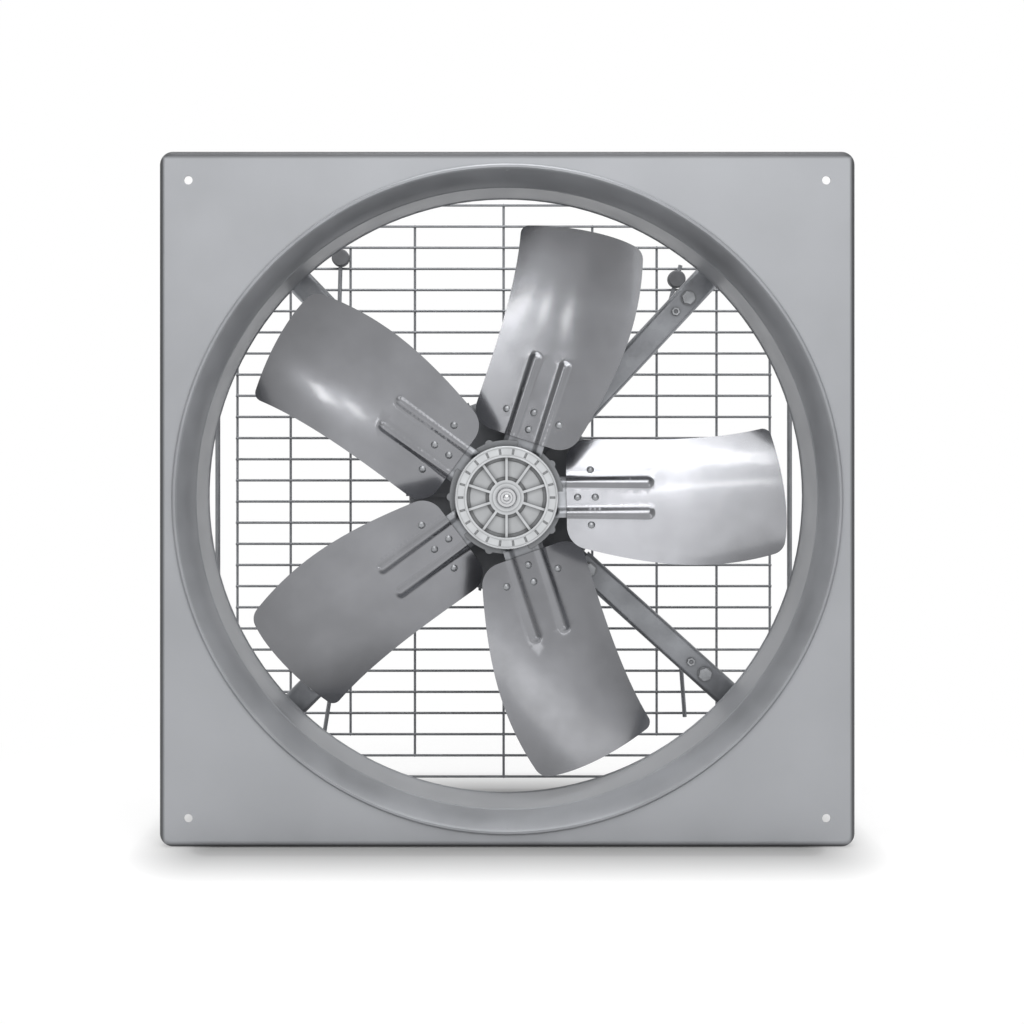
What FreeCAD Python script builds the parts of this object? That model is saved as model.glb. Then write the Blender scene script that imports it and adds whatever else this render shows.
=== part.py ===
import FreeCAD, Part
import math
import os

# Square-panel exhaust fan with a direct-drive motor, in millimetres.
# X is to the right, Y runs from the inlet side to the outlet side, Z is up.
# The origin is the middle of the four wall bolt holes, on the panel's front face.
# The fan turns about the Y axis, so every depth below is measured along Y.

Vector = FreeCAD.Vector
ORIGIN = Vector(0, 0, 0)
AXIS = Vector(0, 1, 0)

# Panel: a pressed steel tray with its edges folded back
panel_size = 735.0
panel_sheet = 2.0
panel_fold_depth = 40.0
panel_bend_radius = 7.0
panel_corner_radius = 14.0
wall_hole_spacing = 673.0
wall_hole_radius = 4.5

# Inlet ring: a spun bell mouth, a beaded crease, a slightly tapered throat and a rolled rear hem
lip_radius = 354.0
lip_width = 5.5
lip_height = 3.2
ring_sheet = 1.5
crease_radius = 333.6
crease_depth = 30.0
throat_rear_radius = 330.5
throat_depth = 110.0
hem_radius = 3.0
bead_length = 3.2
bead_height = 1.2
seam_width = 2.4
seam_height = 0.35
seam_angles = (90.0, 270.0)
ring_to_panel_gap = 0.5

# Blades: five pressed sheets, pitched and twisted, each with two ribs
blade_count = 5
first_blade_angle = 0.0
blade_root = 65.5
blade_tip = 304.0
blade_depth = 62.0
blade_sheet = 1.8
camber_root = 2.0
camber_tip = 6.5
blade_half_chord = 70.0
pitch_root = 20.0
pitch_tip = 17.5
trailing_root = 63.0
trailing_middle = 62.5
trailing_tip = 76.5
trailing_tip_back = 14.0
trailing_tip_round = 9.0
leading_root = 50.0
leading_belly = 72.5
leading_tip = 58.0
leading_tip_back = 5.0
leading_tip_round = 17.0
blade_root_round = 24.0
rib_offset = 16.5
rib_start = 57.5
rib_end = 154.0
rib_height = 2.8
rib_width_start = 13.0
rib_width_end = 16.5
sheet_grid = 2.6

# Blade arms: ribbed sheets between the hub and the blades
arm_sheet = 3.0
arm_root = 45.0
arm_end = 104.0
arm_root_width = 44.0
arm_pad_width = 70.0
arm_pad_start = 80.0
arm_corner = 9.0
nest_gap = 0.25
rivet_side_reach = 92.0
rivet_side_offset = 29.7
rivet_inner_reach = 77.5
rivet_outer_reach = 96.7
rivet_radius = 2.4
rivet_head_radius = 4.1
rivet_head_height = 2.4
rivet_clearance = 0.05
rivet_tail_gap = 0.2

# Hub: a ribbed front disc and a rear disc that clamp the arms
hub_front = 48.0
hub_parting = 66.0
hub_rear = 82.0
hub_ring_radius = 56.0
hub_ring_inner = 43.5
hub_web_front = 58.0
hub_boss_radius = 18.8
hub_boss_drop = 1.0
hub_boss_top_radius = 15.0
hub_boss_step = 2.0
hub_edge_round = 1.2
hub_rib_count = 10
hub_rib_first = 18.0
hub_rib_width = 2.6
hub_rib_drop = 3.0
hub_rim_width = 2.0
hub_channel_depth = 1.2
hub_pad_gap = 4.0
hub_pad_height = 2.0
hub_tick_count = 22
hub_tick_width = 2.6
hub_tick_length = 6.0
hub_tick_depth = 2.0
rear_disc_radius = 62.0
rear_boss_radius = 22.0
rear_boss_end = 92.0
lug_radius = 4.5
lug_proud = 3.0
slot_clearance = 0.3
hub_screw_circle = 31.0
hub_screw_radius = 3.0
hub_screw_head_radius = 5.0
hub_screw_head = 5.0
hub_screw_bite = 7.0

# Shaft and the screw that holds the hub on it
shaft_radius = 10.0
shaft_nose_radius = 9.5
shaft_fit = 0.02
key_width = 6.0
key_start = 60.0
key_end = 86.0
shaft_washer_radius = 11.0
shaft_washer_height = 4.0
shaft_screw_radius = 4.0
shaft_screw_length = 22.0
shaft_screw_head_radius = 7.0
shaft_screw_head = 2.0
shaft_screw_dome = 4.2

# Motor: a ribbed body, two end bells, stator, windings, rotor and ball bearings
motor_radius = 108.0
motor_bore_radius = 98.0
motor_front = 128.0
fin_height = 4.0
fin_width = 3.0
fin_step_degrees = 7.5
fin_end_margin = 8.0
fin_clear_degrees = 12.0
box_clear_degrees = 25.0
bell_depth = 15.0
bell_wall = 5.0
bell_boss_radius = 32.0
bell_boss_length = 10.0
bell_rib_count = 8
bell_rib_outer = 94.0
bell_rib_width = 4.0
bell_rib_height = 3.0
bell_screw_circle = 103.0
bell_screw_radius = 2.5
bell_screw_head_radius = 4.4
bell_screw_head = 3.2
bell_screw_length = 22.0
shaft_hole_gap = 1.0
stator_inner_radius = 58.0
stator_length = 60.0
stator_fit = 0.05
winding_inner = 62.0
winding_outer = 92.0
winding_length = 17.0
winding_round = 6.0
air_gap = 0.6
bearing_outer_radius = 23.5
bearing_width = 14.0
bearing_ring_wall = 4.0
bearing_ball_radius = 3.2
bearing_ball_count = 8
bearing_ball_gap = 0.06
bearing_fit = 0.02

# Motor ears and the four channel arms that carry the motor
strut_angles = {"upper_right": 47.0, "upper_left": 134.0, "lower_left": 225.0, "lower_right": 318.0}
strut_width = 30.0
strut_sheet = 2.5
strut_height = 14.0
strut_front = 150.0
strut_bend = 5.0
strut_inner_reach = 115.0
strut_outer_reach = 391.5
ear_reach = 144.0
ear_thickness = 15.0
ear_side_gap = 0.3
ear_bolt_reach = 128.0
ear_bolt_radius = 4.0
bolt_hole_gap = 0.2
bolt_head_across = 13.0
bolt_head_height = 5.3
bolt_washer_radius = 8.0
bolt_washer_height = 1.6
nut_height = 6.5
bolt_end_beyond_nut = 2.0

# Strut legs: brackets from the arms forward to the back of the panel
leg_width = 24.0
leg_sheet = 3.0
leg_gap = 0.3
leg_flange_gap = 3.4
leg_foot_length = 32.0
leg_bend = 4.0
strut_bolt_inner_gap = 21.0
strut_bolt_outer_reach = 362.0

# Wire guard behind the motor
guard_depth = 268.0
guard_wire_radius = 1.5
guard_wire_sink = 0.4
guard_row_count = 28
guard_row_pitch = 25.4
guard_upright_places = (0.0, 106.6, 184.0, 256.0, 320.0)
guard_upright_rows_left_out = (0, 1, 2)
guard_frame_radius = 3.0
guard_frame_half_width = 343.0
guard_frame_corner = 20.0
guard_weld_gap = 0.1
guard_to_motor_gap = 5.5
leg_rod_radius = 2.5
leg_rod_reach = 284.0
leg_rod_rear_places = {"upper_right": 212.0, "upper_left": -195.0, "lower_left": -216.0, "lower_right": 217.0}
leg_rod_bend = 9.0
leg_rod_past_row = 4.0
leg_rod_last_rows = {"upper_right": 24, "upper_left": 25, "lower_left": 25, "lower_right": 24}
leg_nut_across = 8.0
leg_nut_height = 4.0
leg_stud_height = 2.0
buffer_radius = 10.5
buffer_length = 14.0
buffer_rows = {"upper_right": 23.5, "upper_left": 24.5}
buffer_fit = 0.1

# Terminal box on the side of the motor
box_length = 76.0
box_rear_overhang = 6.0
box_width = 70.0
box_reach = 152.0
box_wall = 2.5
lid_thickness = 3.0
box_saddle_gap = 0.05
lid_screw_radius = 2.0
lid_screw_head_radius = 3.8
lid_screw_head = 2.4
lid_screw_inset = 6.0
lid_post_radius = 4.5
gland_radius = 8.0
gland_nut_across = 22.0
gland_nut_height = 7.0
gland_nose_length = 12.0
gland_nose_radius = 9.0
gland_bore_radius = 4.5
gland_fit = 0.1
capacitor_radius = 14.0
capacitor_length = 52.0
capacitor_top_gap = 1.0

# Places worked out from the sizes above
half_panel = panel_size / 2
half_hole_spacing = wall_hole_spacing / 2
ring_neck_radius = lip_radius - lip_width + ring_sheet
panel_hole_radius = ring_neck_radius + ring_to_panel_gap
strut_web_back = strut_front + strut_sheet
strut_back = strut_front + strut_height
ear_back = strut_web_back + ear_thickness
leg_flange_back = strut_web_back + leg_sheet
leg_upright = strut_outer_reach + leg_gap
leg_flange_start = leg_rod_reach + leg_nut_across / math.sqrt(3) + leg_flange_gap
strut_bolt_reaches = (leg_rod_reach + strut_bolt_inner_gap, strut_bolt_outer_reach)
ear_half_width = strut_width / 2 - strut_sheet - ear_side_gap
motor_end = guard_depth - guard_wire_radius - guard_to_motor_gap
rear_bell_face = motor_end - bell_boss_length
motor_rear = rear_bell_face - bell_depth
motor_middle = (motor_front + motor_rear) / 2
stator_front = motor_middle - stator_length / 2
stator_rear = motor_middle + stator_length / 2
front_bell_face = motor_front - bell_depth
front_bearing_start = front_bell_face - bell_boss_length + bell_wall + 2.0
rear_bearing_start = rear_bell_face + bell_boss_length - bell_wall - 2.0 - bearing_width
hub_boss_face = hub_front + hub_boss_drop
shaft_nose_end = hub_boss_face + 0.5
shaft_shoulder = rear_boss_end + 0.3
shaft_rear_end = rear_bearing_start + bearing_width
guard_upright_depth = guard_depth + 2 * guard_wire_radius - guard_wire_sink
guard_frame_depth = guard_upright_depth - guard_wire_radius - guard_frame_radius - guard_weld_gap
guard_frame_half_height = half_panel - guard_frame_radius
guard_top_row = (guard_row_count - 1) / 2 * guard_row_pitch
leg_rod_depth = guard_depth - guard_wire_radius - leg_rod_radius - guard_weld_gap
box_half_width = box_width / 2
box_rear = motor_rear + box_rear_overhang
box_front = box_rear - box_length


# Small helpers for shapes about the Y axis

def cylinder(radius, start, end, x=0.0, z=0.0):
    return Part.makeCylinder(radius, end - start, Vector(x, start, z), AXIS)


def tube(outer, inner, start, end, x=0.0, z=0.0):
    return cylinder(outer, start, end, x, z).cut(cylinder(inner, start - 1, end + 1, x, z))


def block(x_span, y_span, z_span):
    corner = Vector(x_span[0], y_span[0], z_span[0])
    return Part.makeBox(x_span[1] - x_span[0], y_span[1] - y_span[0], z_span[1] - z_span[0], corner)


def turned(shape, degrees):
    """A copy turned about the fan's axis, anticlockwise as seen from the front."""
    copy = shape.copy()
    copy.rotate(ORIGIN, AXIS, -degrees)
    return copy


def fused(shapes):
    return shapes[0].multiFuse(shapes[1:]).removeSplitter()


def hexagon(across, start, end, x=0.0, z=0.0):
    reach = across / math.sqrt(3)
    turns = [math.radians(60 * step) for step in range(7)]
    corners = [Vector(x + reach * math.cos(t), start, z + reach * math.sin(t)) for t in turns]
    face = Part.Face(Part.makePolygon(corners))
    return face.extrude(Vector(0, end - start, 0))


def outline(place, start, *steps):
    """A closed wire. A step is a point for a line, two points for an arc, or more for a smooth curve."""
    edges = []
    here = place(*start)
    for step in steps:
        points = [place(*point) for point in step] if isinstance(step, list) else [place(*step)]
        if len(points) == 1:
            edges.append(Part.makeLine(here, points[0]))
        elif len(points) == 2:
            edges.append(Part.Arc(here, points[0], points[1]).toShape())
        else:
            curve = Part.BSplineCurve()
            curve.interpolate([here] + points)
            edges.append(curve.toShape())
        here = points[-1]
    if here.distanceToPoint(place(*start)) > 1e-6:
        edges.append(Part.makeLine(here, place(*start)))
    return Part.Wire(edges)


def in_section(radius, depth):
    return Vector(radius, depth, 0)


def in_planform(reach, side):
    return Vector(reach, 0, side)


def revolved(start, *steps):
    """A solid of revolution about the fan's axis from a section given as radius and depth."""
    return Part.Face(outline(in_section, start, *steps)).revolve(ORIGIN, AXIS, 360)


def rounded_square(half, corner, start, end):
    square = block((-half, half), (start, end), (-half, half))
    corners = [edge for edge in square.Edges if abs(edge.tangentAt(edge.FirstParameter).y) > 0.9]
    return square.makeFillet(corner, corners)


def edges_at_depth(shape, depth):
    return [edge for edge in shape.Edges
            if abs(edge.BoundBox.YMin - depth) < 1e-4 and abs(edge.BoundBox.YMax - depth) < 1e-4]


def dome_middle(radius, height):
    """A point half way out on a round cap: its radius and its height above the cap's rim."""
    sphere = (radius ** 2 + height ** 2) / (2 * height)
    return radius / 2, math.sqrt(sphere ** 2 - radius ** 2 / 4) - (sphere - height)


def bent_rod(points, radius, bend):
    """A round rod along straight runs joined by tangent arcs."""
    edges = []
    here = points[0]
    for before, corner, after in zip(points, points[1:], points[2:]):
        arrive = corner.sub(before).normalize()
        leave = after.sub(corner).normalize()
        half_turn = arrive.getAngle(leave) / 2
        setback = bend * math.tan(half_turn)
        enter = corner.sub(Vector(arrive).multiply(setback))
        exit_point = corner.add(Vector(leave).multiply(setback))
        inward = leave.sub(arrive).normalize()
        centre = corner.add(inward.multiply(bend / math.cos(half_turn)))
        middle = centre.add(corner.sub(centre).normalize().multiply(bend))
        edges.append(Part.makeLine(here, enter))
        edges.append(Part.Arc(enter, middle, exit_point).toShape())
        here = exit_point
    if here.distanceToPoint(points[-1]) > 1e-6:
        edges.append(Part.makeLine(here, points[-1]))
    path = Part.Wire(edges)
    first = points[1].sub(points[0])
    section = Part.Wire(Part.makeCircle(radius, points[0], first))
    return path.makePipeShell([section], True, False)


# The pressed sheet that blades and arms share

def rib_rise(reach, side):
    along = min(max(reach, rib_start), rib_end)
    share = (along - rib_start) / (rib_end - rib_start)
    half_width = (rib_width_start + (rib_width_end - rib_width_start) * share) / 2
    away = math.hypot(reach - along, abs(side) - rib_offset)
    if away >= half_width:
        return 0.0
    return rib_height * (1 + math.cos(math.pi * away / half_width)) / 2


def sheet_depth(reach, side):
    """Depth of the blade's front face: pitched, twisted, curved back from its middle line, ribbed."""
    share = (reach - blade_root) / (blade_tip - blade_root)
    pitch = math.radians(pitch_root + (pitch_tip - pitch_root) * share)
    camber = camber_root + (camber_tip - camber_root) * share
    curve = camber * (side / blade_half_chord) ** 2
    return blade_depth + side * math.tan(pitch) + curve - rib_rise(reach, side)


def grid_lines(low, high, margin):
    """The grid lines, at whole steps of the grid, that cover a span and a margin each side of it."""
    first = math.floor((low - margin) / sheet_grid)
    last = math.ceil((high + margin) / sheet_grid)
    return [line * sheet_grid for line in range(first, last + 1)]


def sheet_face(offset, reaches, sides):
    """A smooth surface through the sheet's depth at every grid point, moved back by an offset."""
    heights = [[-sheet_depth(reach, side) - offset for side in sides] for reach in reaches]
    surface = Part.BSplineSurface()
    surface.interpolate(heights, reaches[0], sheet_grid, sides[0], sheet_grid)
    face = surface.toShape()
    face.rotate(ORIGIN, Vector(1, 0, 0), 90)
    return face


def pressed_sheet(planform, front, back, corners=(), margin=8.0):
    """The part of the formed sheet inside a planform, between two offsets along the fan's axis.
    The planform's corners that are given, as reach, side and radius, are rounded."""
    box = planform.BoundBox
    reaches = grid_lines(box.XMin, box.XMax, margin)
    sides = grid_lines(box.ZMin, box.ZMax, margin)
    front_face = sheet_face(front, reaches, sides)
    back_face = sheet_face(back, reaches, sides)
    rims = [Part.makeRuledSurface(near, far) for near, far in zip(front_face.Edges, back_face.Edges)]
    slab = Part.Solid(Part.Shell([front_face, back_face] + rims))
    depths = slab.BoundBox
    lifted = planform.copy()
    lifted.translate(Vector(0, depths.YMin - margin, 0))
    prism = Part.Face(lifted).extrude(Vector(0, depths.YLength + 2 * margin, 0))
    for reach, side, radius in corners:
        upright = [edge for edge in prism.Edges
                   if math.hypot(edge.CenterOfMass.x - reach, edge.CenterOfMass.z - side) < 1e-4]
        prism = prism.makeFillet(radius, upright)
    return slab.common(prism).Solids[0]


def sheet_normal(reach, side, step=0.5):
    along = (sheet_depth(reach + step, side) - sheet_depth(reach - step, side)) / (2 * step)
    across = (sheet_depth(reach, side + step) - sheet_depth(reach, side - step)) / (2 * step)
    return Vector(-along, 1, -across).normalize()


# Panel and inlet ring

def make_panel():
    outer = rounded_square(half_panel, panel_corner_radius, 0, panel_fold_depth)
    outer = outer.makeFillet(panel_bend_radius, edges_at_depth(outer, 0))
    inner_half = half_panel - panel_sheet
    inner_corner = panel_corner_radius - panel_sheet
    inner = rounded_square(inner_half, inner_corner, panel_sheet, panel_fold_depth + 1)
    inner = inner.makeFillet(panel_bend_radius - panel_sheet, edges_at_depth(inner, panel_sheet))
    panel = outer.cut(inner).cut(cylinder(panel_hole_radius, -1, panel_sheet + 1))
    for x in (-half_hole_spacing, half_hole_spacing):
        for z in (-half_hole_spacing, half_hole_spacing):
            panel = panel.cut(cylinder(wall_hole_radius, -1, panel_sheet + 1, x, z))
    return panel


def ring_section():
    """The ring's cut section, from the lip down the inside to the rear hem and back up the outside."""
    lip_edge = lip_width * 0.3
    lip_inside = (lip_radius - lip_width, -lip_height * 0.45)
    bell_middle = (crease_radius + (lip_inside[0] - crease_radius) * 0.42, crease_depth * 0.4)
    hem_outer = throat_rear_radius + 2 * hem_radius
    hem_start = throat_depth - hem_radius
    neck_middle = (bell_middle[0] + ring_sheet, bell_middle[1] + ring_sheet * 0.5)
    outer_rear = throat_rear_radius + ring_sheet
    half_bead = bead_length / 2
    return outline(
        in_section,
        (lip_radius, 0),
        (lip_radius, lip_edge - lip_height),
        (lip_radius - lip_edge, -lip_height),
        (lip_radius - lip_width + lip_edge, -lip_height),
        lip_inside,
        [bell_middle, (crease_radius, crease_depth - half_bead)],
        (crease_radius - bead_height, crease_depth),
        (crease_radius, crease_depth + half_bead),
        (throat_rear_radius, hem_start - bead_length),
        (throat_rear_radius - bead_height, hem_start - half_bead),
        (throat_rear_radius, hem_start),
        [(throat_rear_radius + hem_radius, throat_depth), (hem_outer, hem_start)],
        [(throat_rear_radius + hem_radius + ring_sheet, hem_start - hem_radius), (outer_rear, hem_start)],
        (crease_radius + ring_sheet, crease_depth),
        [neck_middle, (ring_neck_radius, 0)],
    )


def make_inlet_ring():
    """The spun ring, with a low weld seam down its inside at the top and at the bottom."""
    section = Part.Face(ring_section())
    ring = section.revolve(ORIGIN, AXIS, 360)
    seam_degrees = math.degrees(seam_width / throat_rear_radius)
    seam = section.makeOffset2D(seam_height).revolve(ORIGIN, AXIS, seam_degrees)
    seam = seam.common(cylinder(lip_radius - lip_width, 0, throat_depth - 2 * hem_radius))
    seams = [turned(seam, angle + seam_degrees / 2) for angle in seam_angles]
    return fused([ring] + seams)


# Rotor: blades, arms, rivets, hub and shaft

def blade_corners():
    """The blade's four corners before they are rounded, each with its radius."""
    return [
        (blade_root, trailing_root, blade_root_round),
        (blade_tip - trailing_tip_back, trailing_tip, trailing_tip_round),
        (blade_tip - leading_tip_back, -leading_tip, leading_tip_round),
        (blade_root, -leading_root, blade_root_round),
    ]


def blade_planform():
    root_trailing, tip_trailing, tip_leading, root_leading = [corner[:2] for corner in blade_corners()]
    span = blade_tip - blade_root
    flare = trailing_tip - trailing_middle
    return outline(
        in_planform,
        root_trailing,
        [(blade_root + span * 0.42, trailing_middle), (blade_root + span * 0.64, trailing_middle + flare * 0.18),
         (blade_root + span * 0.8, trailing_middle + flare * 0.5), tip_trailing],
        [(blade_tip - trailing_tip_back * 0.32, trailing_tip * 0.45), (blade_tip, -leading_tip * 0.17),
         (blade_tip - leading_tip_back * 0.2, -leading_tip * 0.66), tip_leading],
        [(blade_tip - span * 0.18, -leading_belly + 5.0), (blade_root + span * 0.6, -leading_belly),
         (blade_root + span * 0.32, -leading_belly + 5.5), root_leading],
    )


def arm_planform():
    root_half = arm_root_width / 2
    pad_half = arm_pad_width / 2
    corner = arm_corner * math.sqrt(0.5)
    upper = (arm_end - arm_corner + corner, pad_half - arm_corner + corner)
    lower = (upper[0], -upper[1])
    return outline(
        in_planform,
        (arm_root, -root_half),
        (blade_root, -root_half),
        (arm_pad_start, -pad_half),
        (arm_end - arm_corner, -pad_half),
        [lower, (arm_end, -pad_half + arm_corner)],
        (arm_end, pad_half - arm_corner),
        [upper, (arm_end - arm_corner, pad_half)],
        (arm_pad_start, pad_half),
        (blade_root, root_half),
        (arm_root, root_half),
    )


def rivet_places():
    return ((rivet_side_reach, rivet_side_offset), (rivet_side_reach, -rivet_side_offset),
            (rivet_inner_reach, 0.0), (rivet_outer_reach, 0.0))


def rivet_frame(reach, side):
    """Where a rivet sits: on the blade's front face, square to it."""
    base = Vector(reach, sheet_depth(reach, side), side)
    return FreeCAD.Placement(base, FreeCAD.Rotation(AXIS, sheet_normal(reach, side)))


def make_rivet(reach, side):
    normal = sheet_normal(reach, side)
    grip = (blade_sheet + nest_gap + arm_sheet) * normal.y + rivet_tail_gap
    seat = -rivet_clearance
    out, rise = dome_middle(rivet_head_radius, rivet_head_height)
    tail_height = rivet_head_height * 0.6
    tail_out, tail_rise = dome_middle(rivet_head_radius, tail_height)
    rivet = revolved(
        (0, seat - rivet_head_height),
        [(out, seat - rise), (rivet_head_radius, seat)],
        (rivet_radius, seat),
        (rivet_radius, grip),
        (rivet_head_radius, grip),
        [(tail_out, grip + tail_rise), (0, grip + tail_height)],
    )
    rivet.Placement = rivet_frame(reach, side)
    return rivet


def drill_rivets(sheet):
    for reach, side in rivet_places():
        drill = cylinder(rivet_radius + rivet_clearance, -20, 20)
        drill.Placement = rivet_frame(reach, side).multiply(drill.Placement)
        sheet = sheet.cut(drill)
    return sheet


def make_blade():
    return drill_rivets(pressed_sheet(blade_planform(), 0, blade_sheet, blade_corners()))


def make_blade_arm():
    front = blade_sheet + nest_gap
    return drill_rivets(pressed_sheet(arm_planform(), front, front + arm_sheet))


def make_arm_slot():
    half = arm_root_width / 2 + slot_clearance
    start = arm_root - slot_clearance
    planform = outline(in_planform, (start, -half), (rear_disc_radius + 9, -half),
                       (rear_disc_radius + 9, half), (start, half))
    front = blade_sheet + nest_gap
    return pressed_sheet(planform, front - slot_clearance, front + arm_sheet + slot_clearance)


def blade_angles():
    return [first_blade_angle + 360 / blade_count * number for number in range(blade_count)]


def hub_screw_angles():
    return [angle + 180 / blade_count for angle in blade_angles()]


def around_circle(circle, angles):
    return [(circle * math.cos(math.radians(a)), circle * math.sin(math.radians(a))) for a in angles]


def make_hub_front_disc(arm_slot):
    channel = hub_front + hub_channel_depth
    disc = cylinder(hub_ring_radius, hub_front, hub_parting)
    disc = disc.makeFillet(hub_edge_round, edges_at_depth(disc, hub_front))
    disc = disc.cut(tube(hub_ring_inner, hub_boss_radius, hub_front - 1, hub_web_front))
    disc = disc.cut(cylinder(hub_boss_radius + 1, hub_front - 1, hub_boss_face))
    disc = disc.cut(tube(hub_boss_radius + 1, hub_boss_top_radius, hub_front - 1, hub_boss_face + hub_boss_step))
    disc = disc.cut(tube(hub_ring_radius - hub_rim_width, hub_ring_inner + hub_rim_width, hub_front - 1, channel))
    overlap = 0.5
    pads = tube(hub_ring_inner - hub_pad_gap, hub_boss_radius + hub_pad_gap,
                hub_web_front - hub_pad_height, hub_web_front + overlap)
    rib = block((hub_boss_radius - overlap, hub_ring_inner + overlap),
                (hub_front + hub_rib_drop, hub_web_front + overlap), (-hub_rib_width / 2, hub_rib_width / 2))
    ribs = [turned(rib, hub_rib_first + 360 / hub_rib_count * step) for step in range(hub_rib_count)]
    tick_middle = (hub_ring_inner + hub_ring_radius) / 2
    tick = block((tick_middle - hub_tick_length / 2, tick_middle + hub_tick_length / 2),
                 (hub_front, channel + hub_tick_depth), (-hub_tick_width / 2, hub_tick_width / 2))
    for step in range(hub_tick_count):
        disc = disc.cut(turned(tick, 360 / hub_tick_count * step))
    disc = fused([disc, pads] + ribs)
    disc = disc.cut(cylinder(shaft_nose_radius + shaft_fit, hub_front - 1, hub_parting + 1))
    disc = disc.cut(key_block(shaft_fit))
    for x, z in around_circle(hub_screw_circle, hub_screw_angles()):
        disc = disc.cut(cylinder(hub_screw_radius + shaft_fit, hub_parting - hub_screw_bite, hub_parting + 1, x, z))
    for angle in blade_angles():
        disc = disc.cut(turned(arm_slot, angle))
    return disc.Solids[0]


def make_hub_rear_disc(arm_slot):
    disc = cylinder(rear_disc_radius, hub_parting, hub_rear)
    boss = cylinder(rear_boss_radius, hub_parting, rear_boss_end)
    lugs = [cylinder(lug_radius, hub_parting, hub_rear, x, z)
            for x, z in around_circle(rear_disc_radius + lug_proud - lug_radius, hub_screw_angles())]
    disc = fused([disc, boss] + lugs)
    disc = disc.cut(cylinder(shaft_nose_radius + shaft_fit, hub_parting - 1, rear_boss_end + 1))
    disc = disc.cut(key_block(shaft_fit))
    for x, z in around_circle(hub_screw_circle, hub_screw_angles()):
        disc = disc.cut(cylinder(hub_screw_radius + bolt_hole_gap, hub_parting - 1, hub_rear + 1, x, z))
    for angle in blade_angles():
        disc = disc.cut(turned(arm_slot, angle))
    return disc.Solids[0]


def make_hub_screws():
    screws = []
    for x, z in around_circle(hub_screw_circle, hub_screw_angles()):
        head = cylinder(hub_screw_head_radius, hub_rear, hub_rear + hub_screw_head, x, z)
        socket = hexagon(hub_screw_head_radius, hub_rear + hub_screw_head * 0.4, hub_rear + hub_screw_head + 1, x, z)
        shank = cylinder(hub_screw_radius, hub_parting - hub_screw_bite + 1, hub_rear + 1, x, z)
        screws.append(head.cut(socket).fuse(shank).removeSplitter())
    return screws


def key_block(gap):
    half = key_width / 2 + gap
    seat = shaft_nose_radius - key_width / 2 - gap
    return block((-half, half), (key_start - gap, key_end + gap), (seat, shaft_nose_radius + half))


def make_shaft():
    shaft = cylinder(shaft_nose_radius, shaft_nose_end, shaft_shoulder + 1)
    shaft = shaft.fuse(cylinder(shaft_radius, shaft_shoulder, shaft_rear_end)).removeSplitter()
    shaft = shaft.cut(key_block(shaft_fit))
    thread_hole = cylinder(shaft_screw_radius + shaft_fit, shaft_nose_end - 1, hub_boss_face + shaft_screw_length)
    return shaft.cut(thread_hole)


def make_shaft_washer():
    start = hub_boss_face - shaft_washer_height
    washer = cylinder(shaft_washer_radius, start, hub_boss_face)
    washer = washer.makeChamfer(shaft_washer_height * 0.3, edges_at_depth(washer, start))
    return washer.cut(cylinder(shaft_screw_radius + bolt_hole_gap, start - 1, hub_boss_face + 1))


def make_shaft_screw():
    seat = hub_boss_face - shaft_washer_height
    rim = seat - shaft_screw_head
    dome_height = shaft_screw_dome * 0.5
    out, rise = dome_middle(shaft_screw_dome, dome_height)
    end = hub_boss_face + shaft_screw_length - 1
    return revolved(
        (0, rim - dome_height),
        [(out, rim - rise), (shaft_screw_dome, rim)],
        (shaft_screw_head_radius - 0.6, rim),
        (shaft_screw_head_radius, rim + 0.6),
        (shaft_screw_head_radius, seat),
        (shaft_screw_radius, seat),
        (shaft_screw_radius, end),
        (0, end),
    )


# Motor

def make_motor_body():
    body = tube(motor_radius, motor_bore_radius, motor_front, motor_rear)
    fin = block((motor_radius - 1, motor_radius + fin_height),
                (motor_front + fin_end_margin, motor_rear - fin_end_margin), (-fin_width / 2, fin_width / 2))
    ear = block((motor_radius - 2, ear_reach), (strut_web_back, ear_back), (-ear_half_width, ear_half_width))
    ear = ear.cut(cylinder(ear_bolt_radius + bolt_hole_gap, strut_front, ear_back + 1, ear_bolt_reach))
    fins = [turned(fin, angle) for angle in fin_angles()]
    ears = [turned(ear, angle) for angle in strut_angles.values()]
    body = fused([body] + fins + ears)
    for start, end in ((motor_front - 1, motor_front + bell_screw_length),
                       (motor_rear - bell_screw_length, motor_rear + 1)):
        for x, z in around_circle(bell_screw_circle, strut_angles.values()):
            body = body.cut(cylinder(bell_screw_radius + shaft_fit, start, end, x, z))
    return body


def fin_angles():
    """Every fin place that is clear of the ears and of the terminal box."""
    steps = int(360 / fin_step_degrees)
    angles = [step * fin_step_degrees for step in range(steps)]
    by_ears = [a for a in angles if min(abs(a - e) for e in strut_angles.values()) > fin_clear_degrees]
    return [a for a in by_ears if min(a, 360 - a) > box_clear_degrees]


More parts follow.
